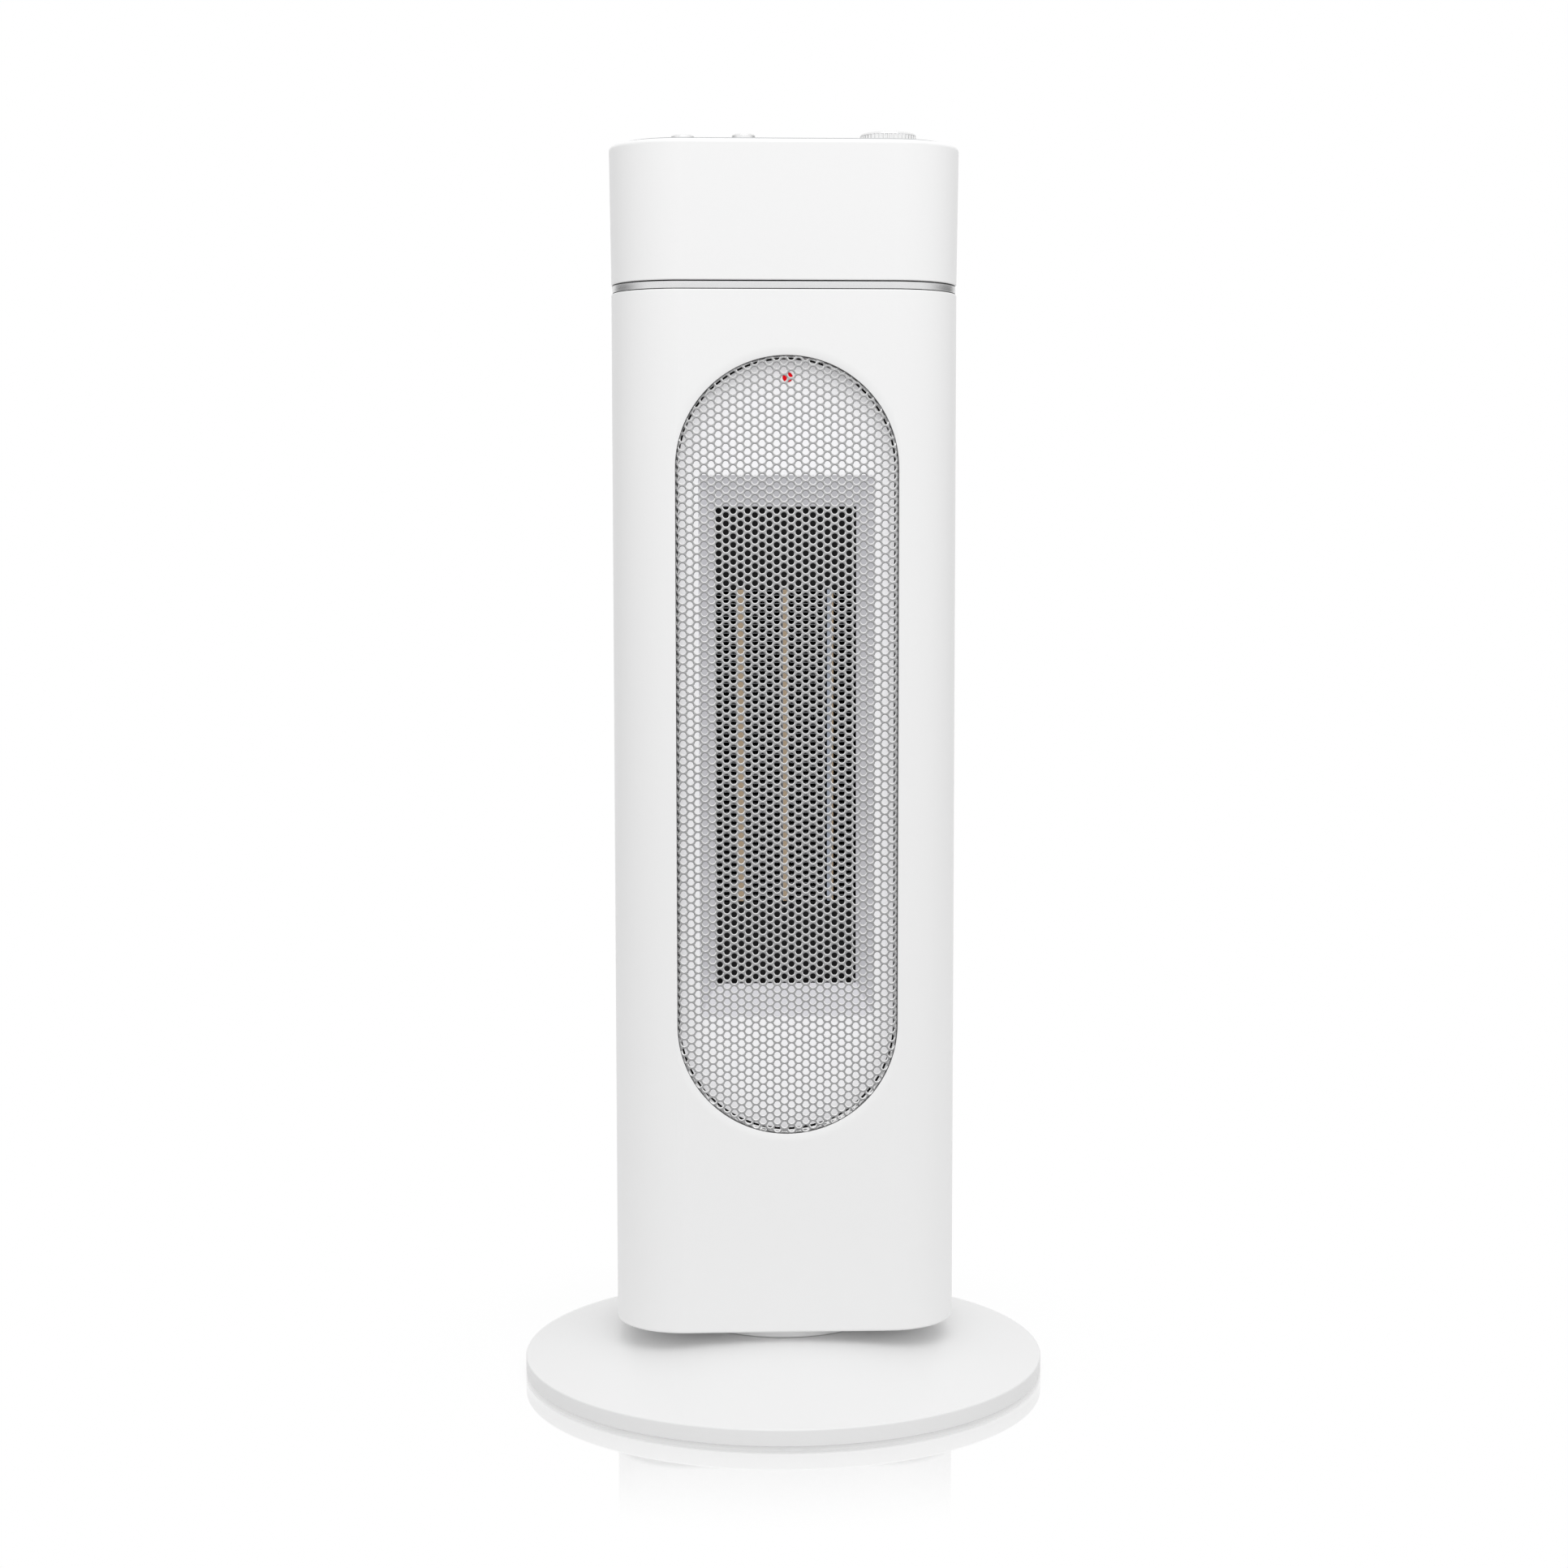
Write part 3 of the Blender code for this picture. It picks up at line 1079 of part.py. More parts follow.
def build_fan(frame, dark, steel, brass):
    """The cross-flow impeller and its shaft, motor and lower bearing, in the shaft's own frame."""
    place = (FAN_OFFSET_X, FAN_OFFSET_Y, 0)
    blades = bmesh.new()
    outer = IMPELLER_RADIUS - BLADE_MARGIN - BLADE_THICKNESS / 2
    sweep_shares = (0, 0.5, 1)
    for number in range(BLADE_COUNT):
        start = 2 * math.pi * number / BLADE_COUNT
        line = [
            (
                (outer - BLADE_DEPTH * (1 - share)) * math.cos(start + BLADE_SWEEP * share**2),
                (outer - BLADE_DEPTH * (1 - share)) * math.sin(start + BLADE_SWEEP * share**2),
            )
            for share in sweep_shares
        ]
        blade = ribbon(line, BLADE_THICKNESS)
        upright(blades, blade, FAN_BOTTOM + DISC_THICKNESS / 2, FAN_TOP - DISC_THICKNESS / 2)
    discs = bmesh.new()
    bore = FAN_SHAFT_RADIUS + GAP
    middle = OUTLET_HEIGHT - DISC_THICKNESS / 2
    for bottom in (FAN_BOTTOM, middle, FAN_TOP - DISC_THICKNESS):
        top = bottom + DISC_THICKNESS
        profile = [(bore, bottom), (IMPELLER_RADIUS, bottom), (IMPELLER_RADIUS, top), (bore, top)]
        turn(discs, profile, MIDDLE_STEPS, ring=True)
    impeller = make_piece("fan_impeller", discs, dark, frame, place)
    add(impeller, blades, "blades")

    shaft_top = FAN_MOTOR_BOTTOM + FAN_SHAFT_IN_MOTOR
    shaft = [
        (0, BEARING_BOTTOM),
        (FAN_SHAFT_RADIUS, BEARING_BOTTOM),
        (FAN_SHAFT_RADIUS, shaft_top),
        (0, shaft_top),
    ]
    make_piece("fan_shaft", turned(shaft, SMALL_STEPS), steel, frame, place)

    motor_top = FAN_MOTOR_BOTTOM + FAN_MOTOR_HEIGHT
    shoulder = FAN_MOTOR_BOTTOM + FAN_MOTOR_NECK
    motor = [
        (0, shaft_top + GAP),
        (bore, shaft_top + GAP),
        (bore, FAN_MOTOR_BOTTOM),
        (FAN_MOTOR_NECK_RADIUS, FAN_MOTOR_BOTTOM),
        (FAN_MOTOR_NECK_RADIUS, shoulder),
        (FAN_MOTOR_RADIUS, shoulder),
        (FAN_MOTOR_RADIUS, motor_top - FAN_MOTOR_NECK),
        (FAN_MOTOR_NECK_RADIUS, motor_top),
        (0, motor_top),
    ]
    make_piece("fan_motor", turned(motor, MIDDLE_STEPS), steel, frame, place)
    bearing = [
        (bore, BEARING_BOTTOM),
        (BEARING_RADIUS, BEARING_BOTTOM),
        (BEARING_RADIUS, BEARING_TOP),
        (bore, BEARING_TOP),
    ]
    make_piece("fan_bearing", turned(bearing, SMALL_STEPS, ring=True), brass, frame, place)


def main():
    clear_scene()
    white = make_material("white_plastic", (0.86, 0.86, 0.86), 0.42)
    grey = make_material("grey_plastic", (0.55, 0.55, 0.56), 0.5)
    black = make_material("black_plastic", (0.02, 0.02, 0.022), 0.5)
    dark = make_material("dark_plastic", (0.05, 0.05, 0.055), 0.45)
    silver = make_material("silver_trim", (0.78, 0.78, 0.79), 0.28, 0.9)
    metal = make_material("grille_paint", (0.66, 0.66, 0.67), 0.4, 0.4)
    steel = make_material("steel", (0.60, 0.60, 0.62), 0.35, 1.0)
    aluminium = make_material("aluminium_fins", (0.62, 0.62, 0.64), 0.4, 1.0)
    ceramic = make_material("ceramic_bars", (0.50, 0.44, 0.36), 0.6)
    brass = make_material("sintered_bronze", (0.50, 0.34, 0.16), 0.45, 1.0)
    rubber = make_material("rubber", (0.62, 0.62, 0.62), 0.8)
    red = make_material("red_lens", (0.80, 0.01, 0.02), 0.2)
    nylon = make_material("white_nylon", (0.80, 0.79, 0.75), 0.5)
    base = make_frame("base")
    tower = make_frame("tower")
    build_base(base, white, grey, steel, rubber)
    build_turntable(base, grey)
    build_swivel(tower, grey, steel, nylon, black)
    build_casing(tower, white, black)
    build_head(tower, white, silver)
    build_controls(tower, silver, black, steel, nylon)
    build_grille(tower, metal)
    build_backplate(tower, white, red, grey)
    build_heater(tower, black, ceramic, aluminium, steel)
    build_duct(tower, black)
    build_fan(tower, dark, steel, brass)


main()
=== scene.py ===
from math import atan, atan2, ceil, cos, degrees, hypot, pi, radians, sin, sqrt
import bpy
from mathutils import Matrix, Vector


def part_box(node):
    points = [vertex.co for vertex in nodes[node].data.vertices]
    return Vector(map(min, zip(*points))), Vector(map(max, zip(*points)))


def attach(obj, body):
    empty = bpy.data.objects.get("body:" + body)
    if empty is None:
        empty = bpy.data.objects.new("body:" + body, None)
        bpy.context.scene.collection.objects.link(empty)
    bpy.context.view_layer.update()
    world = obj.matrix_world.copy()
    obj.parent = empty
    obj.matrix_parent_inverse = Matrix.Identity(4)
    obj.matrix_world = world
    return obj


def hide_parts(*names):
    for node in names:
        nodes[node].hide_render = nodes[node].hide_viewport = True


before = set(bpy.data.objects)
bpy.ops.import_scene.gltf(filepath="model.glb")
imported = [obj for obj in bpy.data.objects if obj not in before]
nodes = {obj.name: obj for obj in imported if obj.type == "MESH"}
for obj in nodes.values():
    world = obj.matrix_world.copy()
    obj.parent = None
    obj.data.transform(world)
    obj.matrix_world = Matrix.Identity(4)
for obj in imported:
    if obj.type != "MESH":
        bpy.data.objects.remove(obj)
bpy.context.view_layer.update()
fit = 0.0003  # gap between two pieces that touch
beyond = 0.002  # how far a cutter reaches past what it cuts
weld = 0.000002  # corners that are closer than this become one
print("heater frame loaded:", len(nodes), "nodes")


def take(table, names):
    return [table[name] for name in names.split()]


# Selecting, editing and closing

def deselectAll():
    for item in list(bpy.context.selected_objects):
        item.select_set(False)


def makeActive(piece, *others):
    deselectAll()
    for item in (*others, piece):
        item.select_set(True)
    bpy.context.view_layer.objects.active = piece


def editMode():
    bpy.ops.object.mode_set(mode="EDIT")


def objectMode():
    bpy.ops.object.mode_set(mode="OBJECT")


def selectAll():
    bpy.ops.mesh.select_all(action="SELECT")


def pick(piece, rule):  # selects the corners that fit the rule, and stays in edit mode
    makeActive(piece)
    bpy.context.tool_settings.mesh_select_mode = (True, False, False)
    mesh = piece.data
    chosen = [bool(rule(corner.co)) for corner in mesh.vertices]
    mesh.vertices.foreach_set("select", chosen)
    for parts in (mesh.edges, mesh.polygons):
        parts.foreach_set("select", [all(chosen[end] for end in part.vertices) for part in parts])
    editMode()


def pickEdges(piece, keys):  # the same by edges, each a pair of corners
    makeActive(piece)
    bpy.context.tool_settings.mesh_select_mode = (False, True, False)
    mesh = piece.data
    ends = {end for key in keys for end in key}
    mesh.vertices.foreach_set("select", [corner.index in ends for corner in mesh.vertices])
    mesh.edges.foreach_set("select", [edge.key in keys for edge in mesh.edges])
    mesh.polygons.foreach_set("select", [False] * len(mesh.polygons))
    editMode()


def extrude(*move):
    bpy.ops.mesh.extrude_region_move(TRANSFORM_OT_translate={"value": move})


def resize(x, y, z, centre=(0, 0, 0)):
    bpy.ops.transform.resize(value=(x, y, z), center_override=centre)


def mergeClose(limit=weld):
    selectAll()
    bpy.ops.mesh.remove_doubles(threshold=limit)


def closeSkin(piece, fill=False):  # merges doubles, caps open ends and turns the faces outwards
    mergeClose()
    if fill:
        bpy.ops.mesh.fill_holes(sides=0)
        selectAll()
    bpy.ops.mesh.normals_make_consistent(inside=False)
    objectMode()
    return piece


# Placing, copying and shaping

def placed(piece, place=(0, 0, 0), turn=(0, 0, 0)):  # turned, then moved
    makeActive(piece)
    piece.rotation_euler = turn
    piece.location = place
    bpy.ops.object.transform_apply()
    return piece


# A piece drawn lying down is stood up, with its height towards the front or the back
def standUp(piece, centre=(0, 0), back=False):
    return placed(piece, (centre[0], 0, centre[1]), (-pi / 2 if back else pi / 2, 0, 0))


def copied(piece, name, move):
    makeActive(piece)
    bpy.ops.object.duplicate_move(TRANSFORM_OT_translate={"value": move})
    twin = bpy.context.object
    twin.name = name
    bpy.ops.object.transform_apply()
    return twin


def copiedTo(places, name, first):  # the first piece is at the first place
    rest = enumerate(places[1:], 2)
    return [first] + [copied(first, f"{name}{number}", place - places[0]) for number, place in rest]


def joined(name, pieces):
    makeActive(pieces[0], *pieces[1:])
    bpy.ops.object.join()
    pieces[0].name = name
    return pieces[0]


def modified(piece, kind, **settings):
    makeActive(piece)
    modifier = piece.modifiers.new("shape", kind)
    for key, value in settings.items():
        setattr(modifier, key, value)
    bpy.ops.object.modifier_apply(modifier="shape")
    return piece


def combine(piece, tool, operation="DIFFERENCE"):
    modified(piece, "BOOLEAN", operation=operation, solver="EXACT", object=tool)
    bpy.data.objects.remove(tool)
    return piece


def rowOf(piece, count, move):
    return modified(piece, "ARRAY", use_relative_offset=False, use_constant_offset=True,
                    constant_offset_displace=move, count=count)


def easeEdges(piece, width):
    return modified(piece, "BEVEL", width=width, segments=2, limit_method="ANGLE",
                    angle_limit=radians(30))


def block(name, size, place):  # a start for pieces that are shaped further
    deselectAll()
    bpy.ops.mesh.primitive_cube_add(size=1, location=place)
    piece = bpy.context.object
    piece.name = name
    piece.scale = size
    bpy.ops.object.transform_apply()
    return piece


# Outlines, turned pieces and pieces with round corners

def arc(centre, radius, start, end, steps):
    turns = [radians(start + (end - start) * step / steps) for step in range(steps + 1)]
    return [(centre[0] + radius * cos(turn), centre[1] + radius * sin(turn)) for turn in turns]


def onRing(radius, turn):
    angle = radians(turn)
    return Vector((radius * cos(angle), radius * sin(angle), 0))


def drawOutline(name, outline, closed=False):  # drawn corner by corner, and left in edit mode
    deselectAll()
    bpy.ops.mesh.primitive_plane_add(size=0.001, location=(outline[0][0], 0, outline[0][1]))
    piece = bpy.context.object
    piece.name = name
    bpy.ops.object.transform_apply()
    editMode()
    bpy.ops.mesh.select_mode(type="VERT")
    selectAll()
    bpy.ops.mesh.merge(type="CENTER")
    here = outline[0]
    for there in outline[1:] + [outline[0]] * closed:
        move = (there[0] - here[0], 0, there[1] - here[1])
        bpy.ops.mesh.extrude_vertices_move(TRANSFORM_OT_translate={"value": move})
        here = there
    selectAll()
    return piece


def turned(name, outline, steps, closed=False):
    piece = drawOutline(name, outline, closed)
    bpy.ops.mesh.spin(steps=steps, angle=2 * pi, axis=(0, 0, 1), center=(0, 0, 0))
    return closeSkin(piece)


def drilled(name, radius, low, high, steps):
    return turned(name, [(0, low), (radius, low), (radius, high), (0, high)], steps)


# A quarter is spun, moved out to its corner, drawn back to the middle planes and mirrored
def cornered(name, outline, steps, halfX, halfY, closed=True):
    piece = drawOutline(name, outline, closed)
    bpy.ops.mesh.spin(steps=steps, angle=pi / 2, axis=(0, 0, 1), center=(0, 0, 0), use_auto_merge=False)
    mergeClose()
    objectMode()
    side = 1 if max(corner.co.y for corner in piece.data.vertices) > 0.00001 else -1
    pick(piece, lambda place: True)
    bpy.ops.transform.translate(value=(halfX, side * halfY, 0))
    objectMode()
    for axis, reach in ((1, side * halfY), (0, halfX)):
        if reach:
            pick(piece, lambda place: abs(place[axis] - reach) < 0.000001)
            extrude(0 if axis else -reach, -reach if axis else 0, 0)
            objectMode()
    modified(piece, "MIRROR", use_axis=(True, True, False), merge_threshold=0.00001)
    editMode()
    return closeSkin(piece, fill=not closed)


# Looks of a piece and its faces

def giveLooks(piece, *looks):
    piece.data.materials.clear()
    for look in looks:
        piece.data.materials.append(look)


def paintFaces(piece, rule, *looks):  # the rule turns a face's centre and normal into a look's number
    giveLooks(piece, *looks)
    for face in piece.data.polygons:
        face.material_index = int(rule(face.center, face.normal))


def finishPiece(piece, look, body, slot, *stands, angle=32):
    makeActive(piece)
    bpy.ops.object.shade_smooth_by_angle(angle=radians(angle))
    modified(piece, "WEIGHTED_NORMAL", keep_sharp=True)
    if look:
        giveLooks(piece, look)
    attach(piece, body)
    if stands:
        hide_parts(*stands)


# Shader nodes and the groups that the finishes share

def addNode(tree, kind, links=(), **values):
    node = tree.nodes.new("ShaderNode" + kind)
    for key, value in values.items():
        setattr(node, key, value)
    for socket, source in links:
        if isinstance(source, bpy.types.NodeSocket):
            tree.links.new(source, node.inputs[socket])
        else:
            node.inputs[socket].default_value = source
    return node


def calc(tree, operation, *values):
    return addNode(tree, "Math", enumerate(values), operation=operation).outputs[0]


def remap(tree, value, start, end, low, high, curve="LINEAR"):
    links = [("Value", value), ("From Min", start), ("From Max", end), ("To Min", low), ("To Max", high)]
    return addNode(tree, "MapRange", links, interpolation_type=curve).outputs[0]


def noise(tree, place, scale, detail):
    return addNode(tree, "TexNoise", [("Vector", place), ("Scale", scale), ("Detail", detail)]).outputs[0]


def choose(tree, share, first, second):  # between two numbers
    return addNode(tree, "Mix", [(0, share), (2, first), (3, second)], data_type="FLOAT").outputs[0]


def blend(tree, share, first, second):  # of two shaders
    return addNode(tree, "MixShader", [(0, share), (1, first), (2, second)]).outputs[0]


def seenDirectly(tree):  # by the camera, in a reflection or through something clear
    path = addNode(tree, "LightPath").outputs
    seen = calc(tree, "MAXIMUM", path["Is Camera Ray"], path["Is Glossy Ray"])
    return calc(tree, "MAXIMUM", seen, path["Is Transmission Ray"])


def newGroup(name, inputs, outputs):
    group = bpy.data.node_groups.new(name, "ShaderNodeTree")
    for label, kind, value in inputs:
        socket = group.interface.new_socket(name=label, in_out="INPUT", socket_type="NodeSocket" + kind)
        if value is not None:
            socket.default_value = value
    for label, kind in outputs:
        group.interface.new_socket(name=label, in_out="OUTPUT", socket_type="NodeSocket" + kind)
    return group, group.nodes.new("NodeGroupInput").outputs, group.nodes.new("NodeGroupOutput").inputs


def newSurfaceGroup(name, extra, roughness, spread):  # gives a gloss and a height for the bumps
    inputs = [("Vector", "Vector", None), extra, ("Roughness", "Float", roughness),
              ("Spread", "Float", spread)]
    return newGroup(name, inputs, [("Roughness", "Float"), ("Height", "Float")])


def endSurfaceGroup(group, given, out, level, height):
    rough = calc(group, "MULTIPLY_ADD", level, given["Spread"], given["Roughness"])
    group.links.new(rough, out["Roughness"])
    group.links.new(height, out["Height"])
    return group


def makeMouldedGrain():
    group, given, out = newSurfaceGroup("mouldedGrain", ("Grain Size", "Float", 900.0), 0.4, 0.06)
    fine = noise(group, given["Vector"], given["Grain Size"], 2.0)
    broad = noise(group, given["Vector"], 16.0, 3.0)
    level = calc(group, "ADD", calc(group, "ADD", fine, broad), -1.0)
    return endSurfaceGroup(group, given, out, level, fine)


def makeBrushedLines():
    group, given, out = newSurfaceGroup("brushedLines", ("Stretch", "Vector", (1.0, 1.0, 1.0)), 0.3, 0.1)
    drawn = addNode(group, "Mapping", [("Vector", given["Vector"]), ("Scale", given["Stretch"])]).outputs[0]
    lines = noise(group, drawn, 1.0, 3.0)
    return endSurfaceGroup(group, given, out, calc(group, "ADD", lines, -0.5), lines)


def makeFaintTone():
    inputs = [("Vector", "Vector", None), ("Color", "Color", (0.8, 0.8, 0.8, 1)),
              ("Shade", "Color", (0.7, 0.7, 0.7, 1)), ("Amount", "Float", 0.2), ("Size", "Float", 12.0)]
    group, given, out = newGroup("faintTone", inputs, [("Color", "Color")])
    share = calc(group, "MULTIPLY", noise(group, given["Vector"], given["Size"], 4.0), given["Amount"])
    mix = addNode(group, "Mix", [(0, share), (6, given["Color"]), (7, given["Shade"])], data_type="RGBA")
    group.links.new(mix.outputs[2], out["Color"])
    return group


mouldedGrain = makeMouldedGrain()
faintTone = makeFaintTone()
brushedLines = makeBrushedLines()


def grey(level, more=0.0):  # more is added to the blue
    return (level, level, level + more)


# One finish: a tone that varies a little, and grain or brushed lines for its gloss and surface
def makeLook(name, tone, shade, roughness, amount=0.2, size=12.0, grain=900.0, depth=1e-5,
             spread=0.08, metallic=0.0, specular=0.5, stretch=None, paintedShadeBelow=None):
    look = bpy.data.materials.new(name)
    look.use_nodes = True
    tree = look.node_tree
    shader = tree.nodes["Principled BSDF"].inputs
    place = addNode(tree, "TexCoord").outputs["Object"]
    if paintedShadeBelow:  # below the first height more of the shade tone is mixed in as painted shade, and above the second the plain amount
        low, high, more = paintedShadeBelow
        height = addNode(tree, "SeparateXYZ", [(0, place)]).outputs["Z"]
        amount = remap(tree, height, low, high, more, amount)
    links = [("Vector", place), ("Color", (*tone, 1)), ("Shade", (*shade, 1)), ("Amount", amount),
             ("Size", size)]
    colour = addNode(tree, "Group", node_tree=faintTone, links=links)
    tree.links.new(colour.outputs["Color"], shader["Base Color"])
    scale = ("Stretch", stretch) if stretch else ("Grain Size", grain)
    links = [("Vector", place), scale, ("Roughness", roughness), ("Spread", spread)]
    group = brushedLines if stretch else mouldedGrain
    surface = addNode(tree, "Group", node_tree=group, links=links).outputs
    tree.links.new(surface["Roughness"], shader["Roughness"])
    bump = addNode(tree, "Bump", [("Height", surface["Height"]), ("Distance", depth)])
    tree.links.new(bump.outputs["Normal"], shader["Normal"])
    shader["Metallic"].default_value = metallic
    shader["Specular IOR Level"].default_value = specular
    return look


whiteCase = makeLook("whiteCase", grey(0.89), grey(0.85, 0.005), 0.42, grain=1400, depth=12e-6)
whiteBase = makeLook("whiteBase", grey(0.845), grey(0.81, 0.005), 0.42, grain=1400, depth=12e-6)
whitePlate = makeLook("whitePlate", (0.96, 0.955, 0.975), (0.93, 0.925, 0.95), 0.5, grain=1400)
# Painted shade: a greyer copy of the plate's white, for the funnel's sides
funnelPaintedShade = makeLook("funnelPaintedShade", (0.68, 0.675, 0.71), (0.63, 0.625, 0.66), 0.5, grain=1400)
greyPlastic = makeLook("greyPlastic", (0.42, 0.43, 0.44), (0.34, 0.35, 0.36), 0.5, grain=1800, depth=3e-5)
blackPlastic = makeLook("blackPlastic", grey(0.016, 0.001), grey(0.03, 0.002), 0.45, grain=1800, depth=3e-5)
# Near-black plastic of the inner parts, made this dark so that they stand in for shade behind the grille, and
# painted shade on the bezel's stepped-back rim
darkPlasticAndPaintedShade = makeLook("darkPlasticAndPaintedShade", grey(0.006, 0.0005), grey(0.011), 0.6, grain=1800,
                       depth=3e-5, specular=0.15)
whiteNylon = makeLook("whiteNylon", (0.78, 0.77, 0.74), (0.70, 0.69, 0.65), 0.38, grain=1200)
silverPaint = makeLook("silverPaint", grey(0.7, 0.01), grey(0.62, 0.01), 0.30, metallic=0.75, grain=5000,
                       depth=4e-6, amount=0.3, size=60)
silverCap = makeLook("silverCap", grey(0.88), grey(0.8, 0.005), 0.24, metallic=0.85, grain=5000,
                     depth=3e-6, amount=0.3, size=60)
silverBand = makeLook("silverBand", grey(0.76, 0.005), grey(0.66, 0.01), 0.26, metallic=1.0,
                      stretch=(60, 60, 5000), spread=0.14, depth=3e-6)
# The grille's paint darkens towards its bottom: painted shade for the light that falls off lower down
grillePaint = makeLook("grillePaint", grey(0.44, 0.005), grey(0.27, 0.005), 0.42, metallic=0.25,
                       grain=4200, depth=8e-6, size=25, amount=0.1, paintedShadeBelow=(0.26, 0.42, 1.0))
# Painted highlight on the lower walls of the grille's holes, and painted shade on their upper walls
grilleWallPaintedHighlight = makeLook("grilleWallPaintedHighlight", grey(0.93), grey(0.87), 0.36, metallic=0.1,
                      grain=4200, depth=6e-6, size=25)
grilleWallPaintedShade = makeLook("grilleWallPaintedShade", grey(0.33, 0.005), grey(0.28, 0.005), 0.5, metallic=0.15,
                       grain=4200, depth=6e-6, size=25)
grilleBack = makeLook("grilleBack", grey(0.9), grey(0.84), 0.6, grain=4200, depth=6e-6, size=25)
brightSteel = makeLook("brightSteel", grey(0.6), grey(0.48, -0.01), 0.32, metallic=1.0,
                       stretch=(900, 900, 900), spread=0.2, depth=6e-6, amount=0.5, size=90)
finAluminium = makeLook("finAluminium", (0.46, 0.47, 0.48), (0.32, 0.33, 0.35), 0.46, metallic=1.0,
                        stretch=(400, 2600, 400), spread=0.2, depth=8e-6, amount=0.6, size=70)
tanCeramic = makeLook("tanCeramic", (0.42, 0.32, 0.21), (0.28, 0.21, 0.14), 0.62, grain=2600, depth=3e-5,
                      amount=0.7, size=160)
greyCeramic = makeLook("greyCeramic", (0.34, 0.37, 0.43), (0.24, 0.27, 0.33), 0.5, grain=2600, depth=2e-5,
                       amount=0.6, size=140)
bronze = makeLook("bronze", (0.48, 0.30, 0.13), (0.36, 0.21, 0.09), 0.45, metallic=1.0, grain=5200,
                  depth=4e-5, amount=0.6, size=300)
rubber = makeLook("rubber", grey(0.74), grey(0.66), 0.7, grain=2400, depth=3e-5)
redLens = makeLook("redLens", (0.86, 0.0, 0.008), (0.78, 0.0, 0.006), 0.4, depth=4e-6, specular=0.12)
# Painted shade for the narrow gaps beside the band and for the mouth's inner wall beside the grille
paintedGapShade = makeLook("paintedGapShade", grey(0.1), grey(0.13), 0.6, grain=1800, depth=2e-5, specular=0.15)
inkGrey = makeLook("inkGrey", grey(0.1, 0.01), grey(0.14, 0.01), 0.5, grain=4000, depth=2e-6)
print("finishes made")

# Finishes of the CAD nodes that stay as they are
stays = (
    (brightSteel, "base_weight swivel_retainer swing_motor control_carrier thermostat_shaft"),
    (brightSteel, "fan_motor fan_shaft"),
    (whiteNylon, "swivel_washer swing_crank button_switch_1 button_switch_2"),
    (blackPlastic, "tip_switch thermostat_body thermal_cutout"),
    (darkPlasticAndPaintedShade, "heater_frame blower_scroll blower_tongue blower_end_bottom blower_end_top fan_impeller"),
    (whiteCase, "bottom_plate"),
    (greyPlastic, "lamp_holder"),
    (bronze, "fan_bearing"),
)
for look, names in stays:
    for name in names.split():
        for holder in nodes[name].material_slots:
            holder.material = look


# Base: domed cover, closing pan, feet, screws and turntable

base = dict(radius=0.128, wall=0.0025, rimBottom=0.0012, rimHeight=0.0082, fillet=0.0009, filletSteps=7,
            rise=0.0213, ease=0.0004, seat=0.048, well=0.043, rings=18, innerRings=6, innerInset=0.002,
            turns=160)


def domeHeight(radius):
    slope = atan(2 * base["rise"] / base["radius"])
    foot = base["rimBottom"] + base["rimHeight"] - base["fillet"] * (1 - cos(slope))
    reach = base["radius"] - base["fillet"] * (1 - sin(slope))
    return foot + base["rise"] * (1 - (radius / reach) ** 2)


def makeBaseCover():
    radius, wall, bottom, ease, fillet = take(base, "radius wall rimBottom ease fillet")
    top = bottom + base["rimHeight"]
    slope = degrees(atan(2 * base["rise"] / radius))
    edge = arc((radius - fillet, top - fillet), fillet, 0, 90 - slope, base["filletSteps"])
    outline = [(radius - ease, bottom), (radius, bottom + ease)] + edge
    inner, seat, well = radius - wall, base["seat"], base["well"]

    def followDome(start, end, rings, drop):
        for ring in range(1, rings + 1):
            here = start + (end - start) * ring / rings
            outline.append((here, domeHeight(here) - drop))

    followDome(edge[-1][0], seat, base["rings"], 0)
    high = domeHeight(seat)
    outline.extend([(well + ease, high), (well, high - ease), (well, high - wall), (seat, high - wall)])
    followDome(seat, inner - base["innerInset"], base["innerRings"], wall)
    outline.extend([(inner, top - wall), (inner, bottom)])
    cover = turned("baseCover", outline, base["turns"], closed=True)
    finishPiece(cover, whiteBase, "base", "white_plastic", "base_cover")


crossScrew = dict(head=0.0038, height=0.0014, bevel=0.0006, rise=0.0005, turns=28,
                  slot=(0.0011, 0.0052, 0.0016))


def makeCrossScrew(name, shank, length):  # its head looks down, and stands at height 0
    head, height, bevel, rise, slot = take(crossScrew, "head height bevel rise slot")
    outline = [(0, 0), (head - bevel, 0), (head, rise), (head, height), (shank, height), (shank, length),
               (0, length)]
    screw = turned(name, outline, crossScrew["turns"])
    across, along, deep = slot
    for size in ((across, along, deep), (along, across, deep)):
        combine(screw, block("driverSlot", size, (0, 0, 0)))
    return screw


pan = dict(bottom=0.0021, top=0.0051, ease=0.0005, grooves=((0.026, 0.033), (0.084, 0.090)),
           grooveDepth=0.0011, grooveSlope=0.0012, turns=120, screwRing=0.106, firstScrew=67.5,
           wellRadius=0.0041, wellDepth=0.0017, hole=0.0021, wellTurns=28, shank=0.0018, screwLength=0.008)


